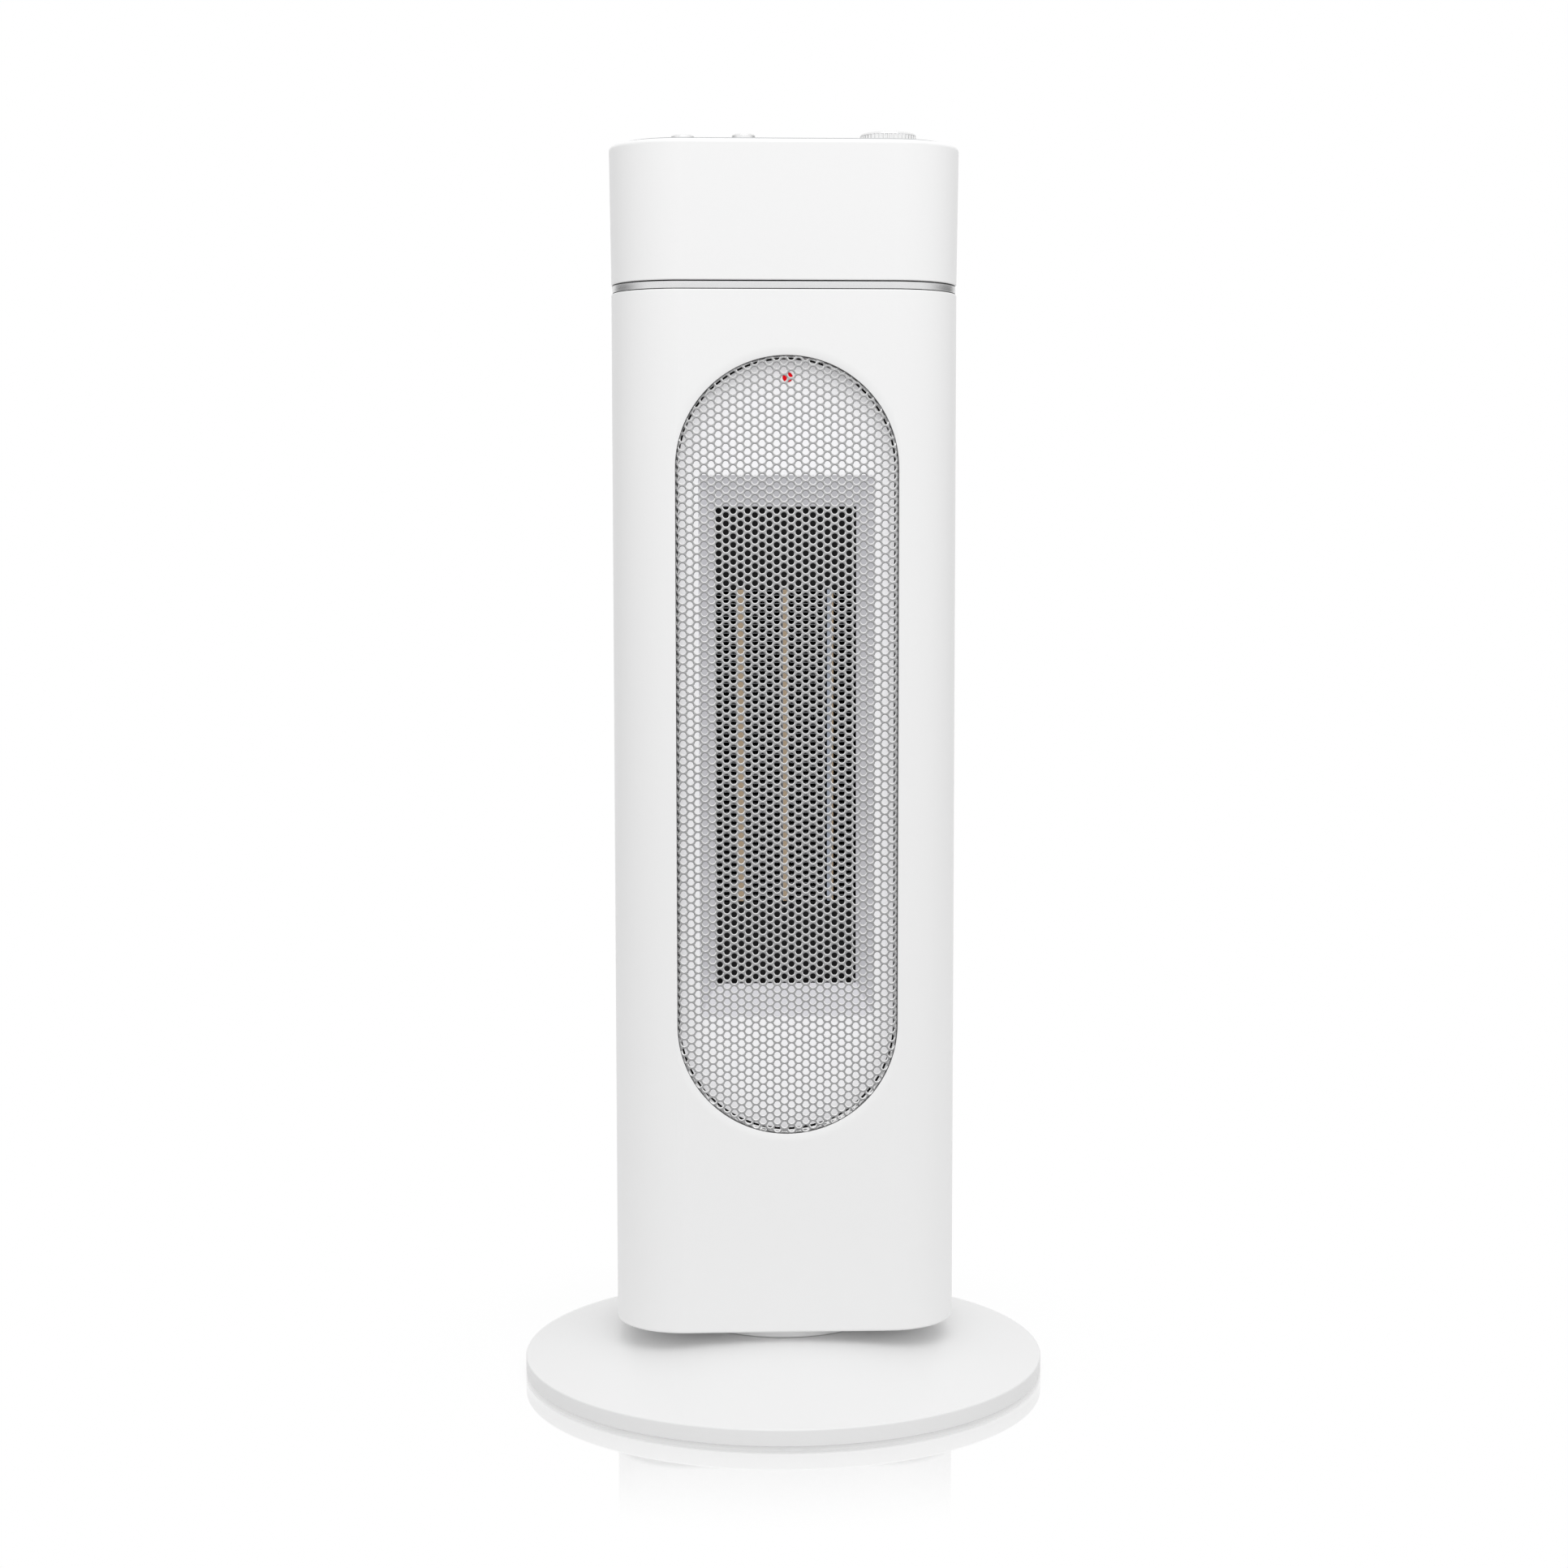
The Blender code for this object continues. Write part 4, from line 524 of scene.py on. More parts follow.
def makeBasePan():
    low, high, ease, slope, wide, hole = take(pan, "bottom top ease grooveSlope wellRadius hole")
    edge, deep = base["radius"] - base["wall"] - fit, low + pan["grooveDepth"]
    outline = [(0, low)]
    for near, far in pan["grooves"]:
        outline += [(near, low), (near + slope, deep), (far - slope, deep), (far, low)]
    outline += [(edge - ease, low), (edge, low + ease), (edge, high), (0, high)]
    closing = turned("basePan", outline, pan["turns"])
    start, end, step = low - beyond, high + beyond, low + pan["wellDepth"]
    outline = [(0, start), (wide, start), (wide, step), (hole, step), (hole, end), (0, end)]
    places = [onRing(pan["screwRing"], pan["firstScrew"] + 90 * turn) for turn in range(4)]
    well = placed(turned("well1", outline, pan["wellTurns"]), places[0])
    screw = makeCrossScrew("baseScrew1", pan["shank"], pan["screwLength"])
    placed(screw, places[0] + Vector((0, 0, low)))
    combine(closing, joined("wells", copiedTo(places, "well", well)))
    finishPiece(closing, whiteNylon, "base", "grey_plastic", "base_pan")
    for number, screw in enumerate(copiedTo(places, "baseScrew", screw), 1):
        finishPiece(screw, brightSteel, "base", "steel", f"base_screw_{number}")


footPad = dict(ring=0.117, count=8, turns=32,
               outline=[(0, 0), (0.0062, 0), (0.0068, 0.0003), (0.007, 0.0008), (0.007, 0.0018), (0, 0.0018)])


def makeFeet():
    places = [onRing(footPad["ring"], 360 * turn / footPad["count"] - 90) for turn in range(footPad["count"])]
    pad = placed(turned("foot1", footPad["outline"], footPad["turns"]), places[0])
    for number, pad in enumerate(copiedTo(places, "foot", pad), 1):
        finishPiece(pad, rubber, "base", "rubber", f"foot_{number}")


turntable = dict(bore=0.0128, plug=0.0427, flange=0.0465, well=0.040, bottom=0.0210, floor=0.0245,
                 seat=0.0279, top=0.0322, ease=0.0004, smallEase=0.0002, turns=120, slotHalf=0.0032,
                 slotReach=0.006135, slotPlace=0.028485, slotSteps=8)


def makeTurntable():
    bore, plug, flange, well, bottom, floor = take(turntable, "bore plug flange well bottom floor")
    seat, top, ease, small, slotHalf = take(turntable, "seat top ease smallEase slotHalf")
    outline = [(bore, bottom), (plug, bottom), (plug, seat), (flange - small, seat), (flange, seat + small),
               (flange, top - ease), (flange - ease, top), (well + ease, top), (well, top - ease),
               (well, floor), (bore, floor)]
    disc = turned("turntableDisc", outline, turntable["turns"], closed=True)
    slot = cornered("slot", [(slotHalf, bottom - beyond), (slotHalf, floor + beyond)], turntable["slotSteps"],
                    0, turntable["slotReach"], closed=False)
    combine(disc, placed(slot, (0, turntable["slotPlace"], 0)))
    finishPiece(disc, whiteCase, "base", "grey_plastic", "turntable_disc")


makeBaseCover()
makeBasePan()
makeFeet()
makeTurntable()
print("base made")


# Tower casing: front housing with its soft-lipped mouth, rear housing with louvres

casing = dict(cornerX=0.049, cornerY=0.021, radius=0.033, wall=0.0026, bottom=0.0325, top=0.5271,
              seam=0.012, steps=14, footEase=0.0012, topEase=0.0006)
halfDepth = casing["cornerY"] + casing["radius"]
pastCasing = halfDepth + beyond
outlet = dict(centre=0.313, straight=0.1315, half=0.0523, lip=0.0042, lipSteps=8, edge=0.0004, dish=0.0005,
              collar=0.002, collarBack=0.0437, steps=40, shadeWidth=0.00008)


def followCasing(name, outline, closed=True):
    return cornered(name, outline, casing["steps"], casing["cornerX"], casing["cornerY"], closed)


def casingTube(name):
    radius, wall, bottom, top, low, high = take(casing, "radius wall bottom top footEase topEase")
    outline = arc((radius - low, bottom + low), low, -90, 0, 4)
    outline += arc((radius - high, top - high), high, 0, 90, 3)
    return followCasing(name, outline + [(radius - wall, top), (radius - wall, bottom)])


def halfOf(tube, seam, keepFront):
    pick(tube, lambda place: True)
    bpy.ops.mesh.bisect(plane_co=(0, seam, 0), plane_no=(0, 1, 0), use_fill=True,
                        clear_outer=keepFront, clear_inner=not keepFront)
    objectMode()
    return tube


def stadium(name, outline, closed=False):
    shape = cornered(name, outline, outlet["steps"], 0, outlet["straight"], closed)
    return standUp(shape, (0, outlet["centre"]))


def pastStraight(height):  # how far a height over the outlet's centre lies past its straight sides
    return max(abs(height) - outlet["straight"], 0) * (1 if height > 0 else -1)


def fromSpine(place):  # distance from the middle line of the outlet
    return hypot(place.x, pastStraight(place.z - outlet["centre"]))


def makeFrontHousing():
    housing = halfOf(casingTube("frontHousing"), casing["seam"], True)
    half, lip, edge, dish, back = take(outlet, "half lip edge dish collarBack")
    collar = half + outlet["collar"]
    combine(housing, stadium("collar", [(collar, back), (collar, halfDepth - casing["wall"] / 2)]), "UNION")
    # The mouth has a small round edge, then a shallow dish out to the flat front
    mouth = [(half, back - beyond)]
    mouth += arc((half + edge, halfDepth - dish - edge), edge, 180, 100, 4)
    for step in range(1, outlet["lipSteps"] + 1):
        share = step / outlet["lipSteps"]
        mouth.append((half + edge + (lip - edge) * share, halfDepth - dish * (1 - share) ** 2))
    mouth.append((half + lip, pastCasing))
    combine(housing, stadium("mouth", mouth))

    def besideGrille(place, normal):  # this inner wall is painted dark beside the grille's turned edge, as painted shade
        return fromSpine(place) < half + outlet["shadeWidth"] and abs(normal.y) < 0.3 and place.y < 0

    paintFaces(housing, besideGrille, whiteCase, paintedGapShade)
    finishPiece(housing, None, "tower", "white_plastic", "front_housing")


louvres = dict(rows=15, pitch=0.0133, spread=0.048, centre=0.313, halfLength=0.021, halfHeight=0.0025,
               chamfer=0.0007, steps=5)
lowRow = louvres["centre"] - louvres["pitch"] * (louvres["rows"] - 1) / 2
grip = dict(centre=0.497, halfWidth=0.044, halfHeight=0.013, corner=0.006, depth=0.022, wall=0.002,
            ease=0.0012, foot=0.002, steps=6)
rearScrew = dict(x=0.038, low=0.072, rise=0.376, well=0.0042, depth=0.0018, ease=0.0003, turns=32,
                 shank=0.0012, length=0.00165, sunk=0.0001)
gland = dict(x=0.030, z=0.052, hole=0.0061, holeDepth=0.006, holeTurns=40, bore=0.0036, neck=0.0058,
             collar=0.0085, inner=0.0474, seat=0.0543, edge=0.0554, round=0.0007, lip=0.0008, turns=48)


def gripShape(name, outline):
    inX, inZ = grip["halfWidth"] - grip["corner"], grip["halfHeight"] - grip["corner"]
    shape = cornered(name, outline, grip["steps"], inX, inZ, closed=False)
    return standUp(shape, (0, grip["centre"]), back=True)


def louvreCutter():
    high, chamfer = louvres["halfHeight"], louvres["chamfer"]
    outline = [(high, halfDepth - casing["wall"] - beyond), (high, halfDepth - chamfer),
               (high + chamfer, halfDepth), (high + chamfer, pastCasing)]
    slot = cornered("slot", outline, louvres["steps"], louvres["halfLength"] - high, 0, closed=False)
    standUp(slot, (-louvres["spread"] / 2, lowRow), back=True)
    rowOf(slot, louvres["rows"], (0, 0, louvres["pitch"]))
    return rowOf(slot, 2, (louvres["spread"], 0, 0))


def screwWellCutter():
    radius, ease, depth = take(rearScrew, "well ease depth")
    low = halfDepth - depth
    outline = [(0, low), (radius, low), (radius, halfDepth - ease), (radius + ease, halfDepth),
               (radius + ease, pastCasing), (0, pastCasing)]
    well = turned("screwWell", outline, rearScrew["turns"])
    standUp(well, (-rearScrew["x"], rearScrew["low"]), back=True)
    rowOf(well, 2, (2 * rearScrew["x"], 0, 0))
    return rowOf(well, 2, (0, 0, rearScrew["rise"]))


def makeRearHousing():
    housing = halfOf(casingTube("rearHousing"), casing["seam"] + fit, False)
    corner, ease, foot = take(grip, "corner ease foot")
    outer, floor = corner + grip["wall"], halfDepth - grip["depth"]
    shell = gripShape("gripShell", [(outer, floor - grip["wall"]), (outer, halfDepth - casing["wall"] / 2)])
    combine(housing, shell, "UNION")
    recess = gripShape("recess", [(corner - foot, floor), (corner, floor + foot), (corner, halfDepth - ease),
                                  (corner + ease, halfDepth), (corner + ease, pastCasing)])
    combine(housing, recess)
    combine(housing, louvreCutter())
    low, high = halfDepth - gland["holeDepth"], pastCasing
    hole = drilled("glandHole", gland["hole"], low, high, gland["holeTurns"])
    combine(housing, standUp(hole, (gland["x"], gland["z"]), back=True))
    combine(housing, screwWellCutter())
    finishPiece(housing, whiteCase, "tower", "white_plastic", "rear_housing")
    for turn in range(4):
        x = rearScrew["x"] * (1 if turn % 2 else -1)
        z = rearScrew["low"] + rearScrew["rise"] * (turn // 2)
        screw = makeCrossScrew(f"rearScrew{turn + 1}", rearScrew["shank"], rearScrew["length"])
        placed(screw, (x, halfDepth - rearScrew["sunk"], z), (pi / 2, 0, 0))
        finishPiece(screw, brightSteel, "tower", "steel")


blade = dict(size=(0.095, 0.010, 0.0011), tilt=-43, y=0.0468, ease=0.0003, rail=(0.002, 0.0076, 0.196),
             railX=0.0465)


def makeLouvreBlades():  # slanted behind the louvres, so that nothing looks straight through
    ease, y, railX = take(blade, "ease y railX")
    blades = easeEdges(block("louvreBlades", blade["size"], (0, 0, 0)), ease)
    placed(blades, (0, y, lowRow), (radians(blade["tilt"]), 0, 0))
    rowOf(blades, louvres["rows"], (0, 0, louvres["pitch"]))
    rails = easeEdges(block("rails", blade["rail"], (-railX, y, louvres["centre"])), ease)
    combine(blades, rowOf(rails, 3, (railX, 0, 0)), "UNION")
    finishPiece(blades, blackPlastic, "tower", "black_plastic")


def makeInletGland():
    bore, neck, collar, inner, seat, edge = take(gland, "bore neck collar inner seat edge")
    bend, lip = take(gland, "round lip")
    outline = [(bore, inner), (neck, inner), (neck, seat), (collar, seat), (collar, edge)]
    outline += arc((collar - bend, edge), bend, 20, 90, 4)
    outline += arc((bore + lip, edge + bend - lip), lip, 90, 180, 4)
    ring = turned("inletGland", outline, gland["turns"], closed=True)
    standUp(ring, (gland["x"], gland["z"]), back=True)
    finishPiece(ring, blackPlastic, "tower", "black_plastic", "inlet_gland")


makeFrontHousing()
makeRearHousing()
makeLouvreBlades()
makeInletGland()
print("casing made")


# Band, head, panel and controls

band = dict(inset=0.0005, bottom=0.5275, top=0.5307, belly=0.0001, gapDepth=0.0012, gapBottom=0.5274,
            gapTop=0.5310, sleeve=(0.0281, 0.0301), sleeveBottom=0.5224, sleeveTop=0.5360)


def makeBand():
    belly, low, high, under, over = take(band, "belly bottom top gapBottom gapTop")
    (inner, outer), foot, crown = take(band, "sleeve sleeveBottom sleeveTop")
    radius = casing["radius"] - band["inset"]
    deep = radius - band["gapDepth"]
    outline = [(radius - belly, low), (radius, low + belly), (radius + belly, (low + high) / 2),
               (radius, high - belly), (radius - belly, high), (deep, high), (deep, over), (outer, over),
               (outer, crown), (inner, crown), (inner, foot), (outer, foot), (outer, under), (deep, under),
               (deep, low)]
    trim = followCasing("trimBand", outline)

    def inGap(place, normal):  # the two shadow gaps beside the band are painted dark, as painted shade
        return not (low - 0.00001 < place.z < high + 0.00001 and abs(normal.z) < 0.8)

    paintFaces(trim, inGap, silverBand, paintedGapShade)
    finishPiece(trim, None, "tower", "silver_trim", "trim_band")


head = dict(bottom=0.5313, top=0.5958, flare=0.0008, fillet=0.0021, footEase=0.0004, rim=0.0034,
            rimEase=0.0003, ledgeTop=0.5938, ledge=0.0062, ledgeStep=0.0024, thin=0.0018,
            panelBottom=0.5941, panelTop=0.5966)


def makeHead():
    low, top, fillet, foot, ease = take(head, "bottom top fillet footEase rimEase")
    radius, ledge, step = casing["radius"], head["ledgeTop"], head["ledgeStep"]
    rim, inner = radius - head["rim"], radius - head["ledge"]
    outline = [(radius - foot, low), (radius, low + foot)]
    outline += arc((radius + head["flare"] - fillet, top - fillet), fillet, 0, 90, 7)
    outline += [(rim + ease, top), (rim, top - ease), (rim, ledge), (inner, ledge), (inner, ledge - step),
                (radius - head["thin"], ledge - 2 * step), (radius - casing["wall"], low)]
    shell = followCasing("headShell", outline)
    finishPiece(shell, whiteCase, "tower", "white_plastic", "head_shell")


dial = dict(x=0.051, ticks=11, start=225, sweep=270, radius=0.0168, longTick=0.0026, shortTick=0.0016,
            tickWidth=0.0004, tickHeight=0.00008)
buttons = ((1, -0.0478, 0.0080), (2, -0.0186, 0.0086))  # number, place and height over the panel
panel = dict(inset=0.0037, ease=0.0005, bevel=0.00015, shaftHole=0.0033, buttonHole=0.0060, holeEase=0.0003,
             holeTurns=48, rimWidth=0.001)


def makePanel():
    edge, low, high = casing["radius"] - panel["inset"], head["panelBottom"], head["panelTop"]
    ease, bevel, holeEase = take(panel, "ease bevel holeEase")
    start, end = low - beyond, high + beyond
    outline = [(edge, low), (edge, high - ease), (edge - bevel, high - bevel), (edge - ease, high)]
    cover = followCasing("controlPanel", outline, closed=False)
    holes = [(dial["x"], panel["shaftHole"])] + [(x, panel["buttonHole"]) for number, x, height in buttons]
    for x, radius in holes:
        hole = [(0, start), (radius, start), (radius, high - holeEase), (radius + holeEase, high),
                (radius + holeEase, end), (0, end)]
        combine(cover, placed(turned("hole", hole, panel["holeTurns"]), (x, 0, 0)))

    def onCutEdge(place, normal):  # the cut edge all round is plain grey
        out = hypot(max(abs(place.x) - casing["cornerX"], 0), max(abs(place.y) - casing["cornerY"], 0))
        return abs(normal.z) < 0.9 and out > edge - panel["rimWidth"]

    paintFaces(cover, onCutEdge, silverPaint, greyPlastic)
    finishPiece(cover, None, "tower", "silver_trim", "control_panel")
    marks = []
    width, thick = dial["tickWidth"], dial["tickHeight"]
    for tick in range(dial["ticks"]):
        angle = radians(dial["start"] - dial["sweep"] * tick / (dial["ticks"] - 1))
        length = dial["shortTick"] if tick % 5 else dial["longTick"]
        mark = block("mark", (length, width, thick), (dial["radius"] + length / 2, 0, high + thick / 2))
        marks.append(placed(mark, (dial["x"], 0, 0), (0, 0, angle)))
    finishPiece(joined("dialMarks", marks), inkGrey, "tower", "black_plastic")


knob = dict(radius=0.0135, bottom=0.5971, top=0.6054, ribs=40, ribDepth=0.0005, shoulder=0.001, shaft=0.0033,
            socket=0.0058, foot=0.0012, ease=0.0003, dishes=((0.0092, 0), (0.0086, 0.0004), (0.0078, 0.0006)),
            pointer=(0.0058, 0.0009, 0.0006), pointerPlace=0.0052)


def makeKnob():
    radius, low, high, shoulder, shaft, ease = take(knob, "radius bottom top shoulder shaft ease")
    socket, dish = low + knob["socket"], knob["dishes"][-1][1]
    outline = [(0, socket), (shaft, socket), (shaft, low), (radius - ease, low), (radius, low + ease),
               (radius, low + knob["foot"]), (radius, high - shoulder - ease), (radius, high - shoulder)]
    outline += arc((radius - shoulder, high - shoulder), shoulder, 12, 90, 7)
    outline += [(out, high - drop) for out, drop in knob["dishes"]] + [(0, high - dish)]
    turns = 4 * knob["ribs"]
    cap = turned("thermostatKnob", outline, turns)

    def inGroove(place):
        across = round(atan2(place.y, place.x) / (2 * pi) * turns) % 4
        atSide = hypot(place.x, place.y) > radius - 0.0002
        return across in (0, 1) and atSide and low + 0.001 < place.z < high - shoulder - 0.0001

    pick(cap, inGroove)
    share = 1 - knob["ribDepth"] / radius
    resize(share, share, 1)
    objectMode()
    pointer = block("pointer", knob["pointer"], (knob["pointerPlace"], 0, high - dish))
    placed(pointer, turn=(0, 0, radians(dial["start"])))  # at rest it points to the first mark
    combine(cap, pointer)
    placed(cap, (dial["x"], 0, 0))
    finishPiece(cap, silverCap, "knob", "silver_trim", "thermostat_knob")


button = dict(radius=0.0057, round=0.0008, stem=0.0025, stemLength=0.006, skirt=0.0048, roundDrop=0.00095,
              crown=((0.0038, 0.00008), (0.0024, 0.00003), (0, 0)), turns=48)


def makeButtons():
    radius, bend, stem = take(button, "radius round stem")
    for number, x, height in buttons:
        low, high = head["panelBottom"] - button["skirt"], head["panelTop"] + height
        foot = low - button["stemLength"]
        outline = [(0, foot), (stem, foot), (stem, low), (radius, low)]
        outline += arc((radius - bend, high - button["roundDrop"]), bend, 0, 80, 5)
        outline += [(out, high - drop) for out, drop in button["crown"]]
        cap = placed(turned(f"pushButton{number}", outline, button["turns"]), (x, 0, 0))
        finishPiece(cap, silverCap, f"button_{number}", "silver_trim", f"push_button_{number}")


makeBand()
makeHead()
makePanel()
makeKnob()
makeButtons()
print("head and controls made")


# Perforated grille: one punched tile, set in columns and rolled back at its rim

grille = dict(columnStep=0.003395, pitch=0.003959, firstX=0.00184, firstZ=0.00082, holeFront=0.0018,
              holeBack=0.00144, sheet=0.0005, sides=12, flat=0.0513, bend=0.0008, skirt=0.0060, front=0.0534,
              border=0.0019, columns=20, weld=0.00002, upperHalf=0.0003)


def makePunchedTile():
    step, pitch, sheet, wide, narrow = take(grille, "columnStep pitch sheet holeFront holeBack")
    corner = 2 / 3 * step
    squeeze = (pitch / 2) / (corner * sin(pi / 3))
    deselectAll()
    bpy.ops.mesh.primitive_circle_add(vertices=grille["sides"], radius=wide)
    tile = bpy.context.object
    editMode()
    extrude(0, 0, -sheet)
    resize(narrow / wide, narrow / wide, 1)
    extrude(0, 0, 0)
    resize(corner / narrow, corner / narrow, 1)
    objectMode()
    # Every second corner of the outer ring joins its neighbour, which makes it a hexagon
    pick(tile, lambda place: place.xy.length > (corner + wide) / 2 and
         round(degrees(atan2(place.y, place.x)) / 30) % 2)
    bpy.ops.transform.rotate(value=radians(30), orient_axis="Z", center_override=(0, 0, 0))
    objectMode()
    pick(tile, lambda place: place.xy.length > (corner + wide) / 2)
    resize(1, squeeze, 1)
    closeSkin(tile)
    pick(tile, lambda place: place.z < -sheet / 2)
    bpy.ops.mesh.duplicate_move(TRANSFORM_OT_translate={"value": (0, 0, sheet)})
    objectMode()
    pick(tile, lambda place: place.z > -sheet / 2 and place.xy.length < (wide + narrow) / 2)
    resize(wide / narrow, wide / narrow, 1)
    closeSkin(tile)

    def paintOf(place, normal):  # the front, the back, and between them the hole's upper half in painted shade and its lower half in painted highlight
        level = place.z / sheet
        inside = 3 if place.y > grille["upperHalf"] else 1
        return 0 if level > -0.1 else 2 if level < -0.9 else inside

    paintFaces(tile, paintOf, grillePaint, grilleWallPaintedHighlight, grilleBack, grilleWallPaintedShade)
    return tile


def makeGrille():
    step, pitch, sheet, bend, flat = take(grille, "columnStep pitch sheet bend flat")
    edge = flat + bend * pi / 2 + grille["skirt"]
    reach = edge - grille["border"]
    tile = makePunchedTile()
    columns = []
    for column in range(-grille["columns"], grille["columns"] + 1):
        x = grille["firstX"] + column * step
        if abs(x) > reach:
            continue
        phase = grille["firstZ"] + (pitch / 2 if column % 2 else 0)
        top = outlet["straight"] + sqrt(reach ** 2 - x ** 2)
        first = ceil((-top - phase) / pitch)
        last = int((top - phase) / pitch)
        piece = copied(tile, "column", (x, phase + first * pitch, 0))
        columns.append(rowOf(piece, last - first + 1, (0, pitch, 0)))
    bpy.data.objects.remove(tile)
    sheetPiece = joined("outletGrille", columns)
    editMode()
    mergeClose(grille["weld"])
    objectMode()
    mesh = sheetPiece.data
    uses = {}
    for face in mesh.polygons:
        for key in face.edge_keys:
            uses[key] = uses.get(key, 0) + 1
    rim = {key for key, count in uses.items() if count == 1}
    for index in {end for key in rim for end in key}:  # evens the cut rim out to a stadium
        place = mesh.vertices[index].co
        past = pastStraight(place.y)
        share = edge / hypot(place.x, past)
        place.y += past * (share - 1)
        place.x *= share
    pickEdges(sheetPiece, {key for key in rim if mesh.vertices[key[0]].co.z > -sheet / 2})
    extrude(0, 0, -sheet)
    closeSkin(sheetPiece)
    for corner in mesh.vertices:  # rolls the rim back round the bend, then straight
        x, y, z = corner.co
        past = pastStraight(y)
        out = hypot(x, past)
        if out <= flat:
            continue
        run = out - flat
        turn = min(run / bend, pi / 2)
        share = (flat + (bend + z) * sin(turn)) / out
        drop = bend - (bend + z) * cos(turn) + max(run - bend * pi / 2, 0)
        corner.co = (x * share, y + past * (share - 1), -drop)
    placed(sheetPiece, (0, 0, grille["front"]))
    standUp(sheetPiece, (0, outlet["centre"]))
    print("grille made:", len(mesh.polygons), "faces")
    sheetPiece.visible_shadow = False  # its shade would grey the white plate, which is bright in the photo
    sheetPiece.visible_diffuse = False
    finishPiece(sheetPiece, None, "tower", "grille_paint", "outlet_grille", angle=40)


makeGrille()


# Plate behind the grille, its funnel, the window and the lamp

plate = dict(front=0.0460, back=0.0440, half=0.052, funnelX=(0.0415, 0.0335), funnelZ=(0.1285, 0.114),
             funnelBack=0.0360, funnelFront=0.0450, wall=0.0016, ledge=0.0507, ledgeDepth=0.0012,
             ledgeEdge=0.0002, ease=0.0003)
lens = dict(x=0.0005, z=0.4870, proud=0.0012, radius=0.0024, length=0.016, stem=0.0018, hole=0.00245,
            squash=0.6, turns=32)


def funnelBlock(name, grow, near, far):  # narrows from its depth near to its depth far
    def halves(depth):
        share = (plate["front"] - depth) / (plate["front"] - plate["funnelBack"])
        return [wide + (narrow - wide) * share + grow for wide, narrow in take(plate, "funnelX funnelZ")]

    (nearX, nearZ), (farX, farZ) = halves(near), halves(far)
    middle = -(near + far) / 2
    piece = block(name, (2 * nearX, near - far, 2 * nearZ), (0, middle, outlet["centre"]))
    pick(piece, lambda place: place.y > middle)
    resize(farX / nearX, 1, farZ / nearZ, (0, 0, outlet["centre"]))
    objectMode()
    return piece


def makeBezel():
    half, front, back, funnelBack = take(plate, "half front back funnelBack")
    bezel = stadium("outletBezel", [(half, back), (half, front)])
    combine(bezel, funnelBlock("funnel", plate["wall"], plate["funnelFront"], funnelBack), "UNION")
    combine(bezel, funnelBlock("throat", 0, front + beyond, funnelBack - beyond))
    hole = drilled("lampHole", lens["hole"], back - beyond, front + beyond, lens["turns"])
    combine(bezel, standUp(hole, (lens["x"], lens["z"])))
    ledge, low, high, wide = plate["ledge"], front - plate["ledgeDepth"], front + beyond, half + beyond
    combine(bezel, stadium("rebate", [(ledge, low), (wide, low), (wide, high), (ledge, high)], closed=True))
    easeEdges(bezel, plate["ease"])

    def paintedShadeOf(place, normal):  # the rim stands back and is painted dark, and the funnel's sides are painted grey: both are painted shade
        out = fromSpine(place)
        inFunnel = out < ledge and abs(normal.y) < 0.98 and -front < place.y < -funnelBack
        return 1 if out > ledge + plate["ledgeEdge"] else 2 if inFunnel else 0

    paintFaces(bezel, paintedShadeOf, whitePlate, darkPlasticAndPaintedShade, funnelPaintedShade)
    finishPiece(bezel, None, "tower", "white_plastic", "outlet_bezel")


def makeLamp():
    radius, stem, squash = take(lens, "radius stem squash")
    nose = plate["front"] + lens["proud"]
    low, middle = nose - lens["length"], nose - radius * squash
    outline = [(0, low), (stem, low), (stem, plate["back"]), (radius, plate["back"])]
    outline += [(x, middle + (y - middle) * squash) for x, y in arc((0, middle), radius, 0, 90, 8)]
    lamp = standUp(turned("indicatorLamp", outline, lens["turns"]), (lens["x"], lens["z"]))
    finishPiece(lamp, redLens, "tower", "red_lens", "indicator_lamp")


# Heating element: ceramic bars between folded fin packs

bars = dict(ease=0.00025, greyShares=(0, 0.25, 0.5))  # the first bar is tan all over
fins = dict(step=0.002, thickness=0.00025, fold=0.0007, foldEnd=0.0004, bendX=0.0003, bendZ=0.0002)


def makeBars():
    for number in (1, 2, 3):
        low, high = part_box(f"heater_bar_{number}")
        bar = block(f"heaterBar{number}", high - low, (low + high) / 2)
        editMode()
        selectAll()
        bpy.ops.mesh.subdivide(number_cuts=1)
        objectMode()
        easeEdges(bar, bars["ease"])
        share = bars["greyShares"][number - 1]
        greyEnd = low.x + (high.x - low.x) * share
        paintFaces(bar, lambda place, normal: share and place.x < greyEnd, tanCeramic, greyCeramic)
        finishPiece(bar, None, "tower", "ceramic_bars", f"heater_bar_{number}")


def makeFinPack(number):
    low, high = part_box(f"heater_fins_{number}")
    step, fold, bendX, bendZ = take(fins, "step fold bendX bendZ")
    inset, side = fins["thickness"] / 2, step / 2 - fins["foldEnd"]
    left, right = low.x + inset, high.x - inset
    legs = int((high.z - low.z - 2 * inset) / step)
    start = (low.z + high.z - legs * step) / 2
    outline = []
    for leg in range(legs + 1):
        z = start + leg * step
        away = -1 if leg % 2 else 1
        near, far = (left, right)[::away]
        if leg:
            outline += [(near, z - side), (near + away * bendX, z - bendZ)]
        outline += [(near + away * fold, z), (far - away * fold, z)]
        if leg < legs:
            outline += [(far - away * bendX, z + bendZ), (far, z + side)]
    pack = drawOutline(f"heaterFins{number}", outline)
    extrude(0, high.y - low.y, 0)
    selectAll()
    bpy.ops.transform.translate(value=(0, low.y, 0))
    objectMode()
    modified(pack, "SOLIDIFY", thickness=fins["thickness"], offset=0)
    finishPiece(pack, finAluminium, "tower", "aluminium_fins", f"heater_fins_{number}")


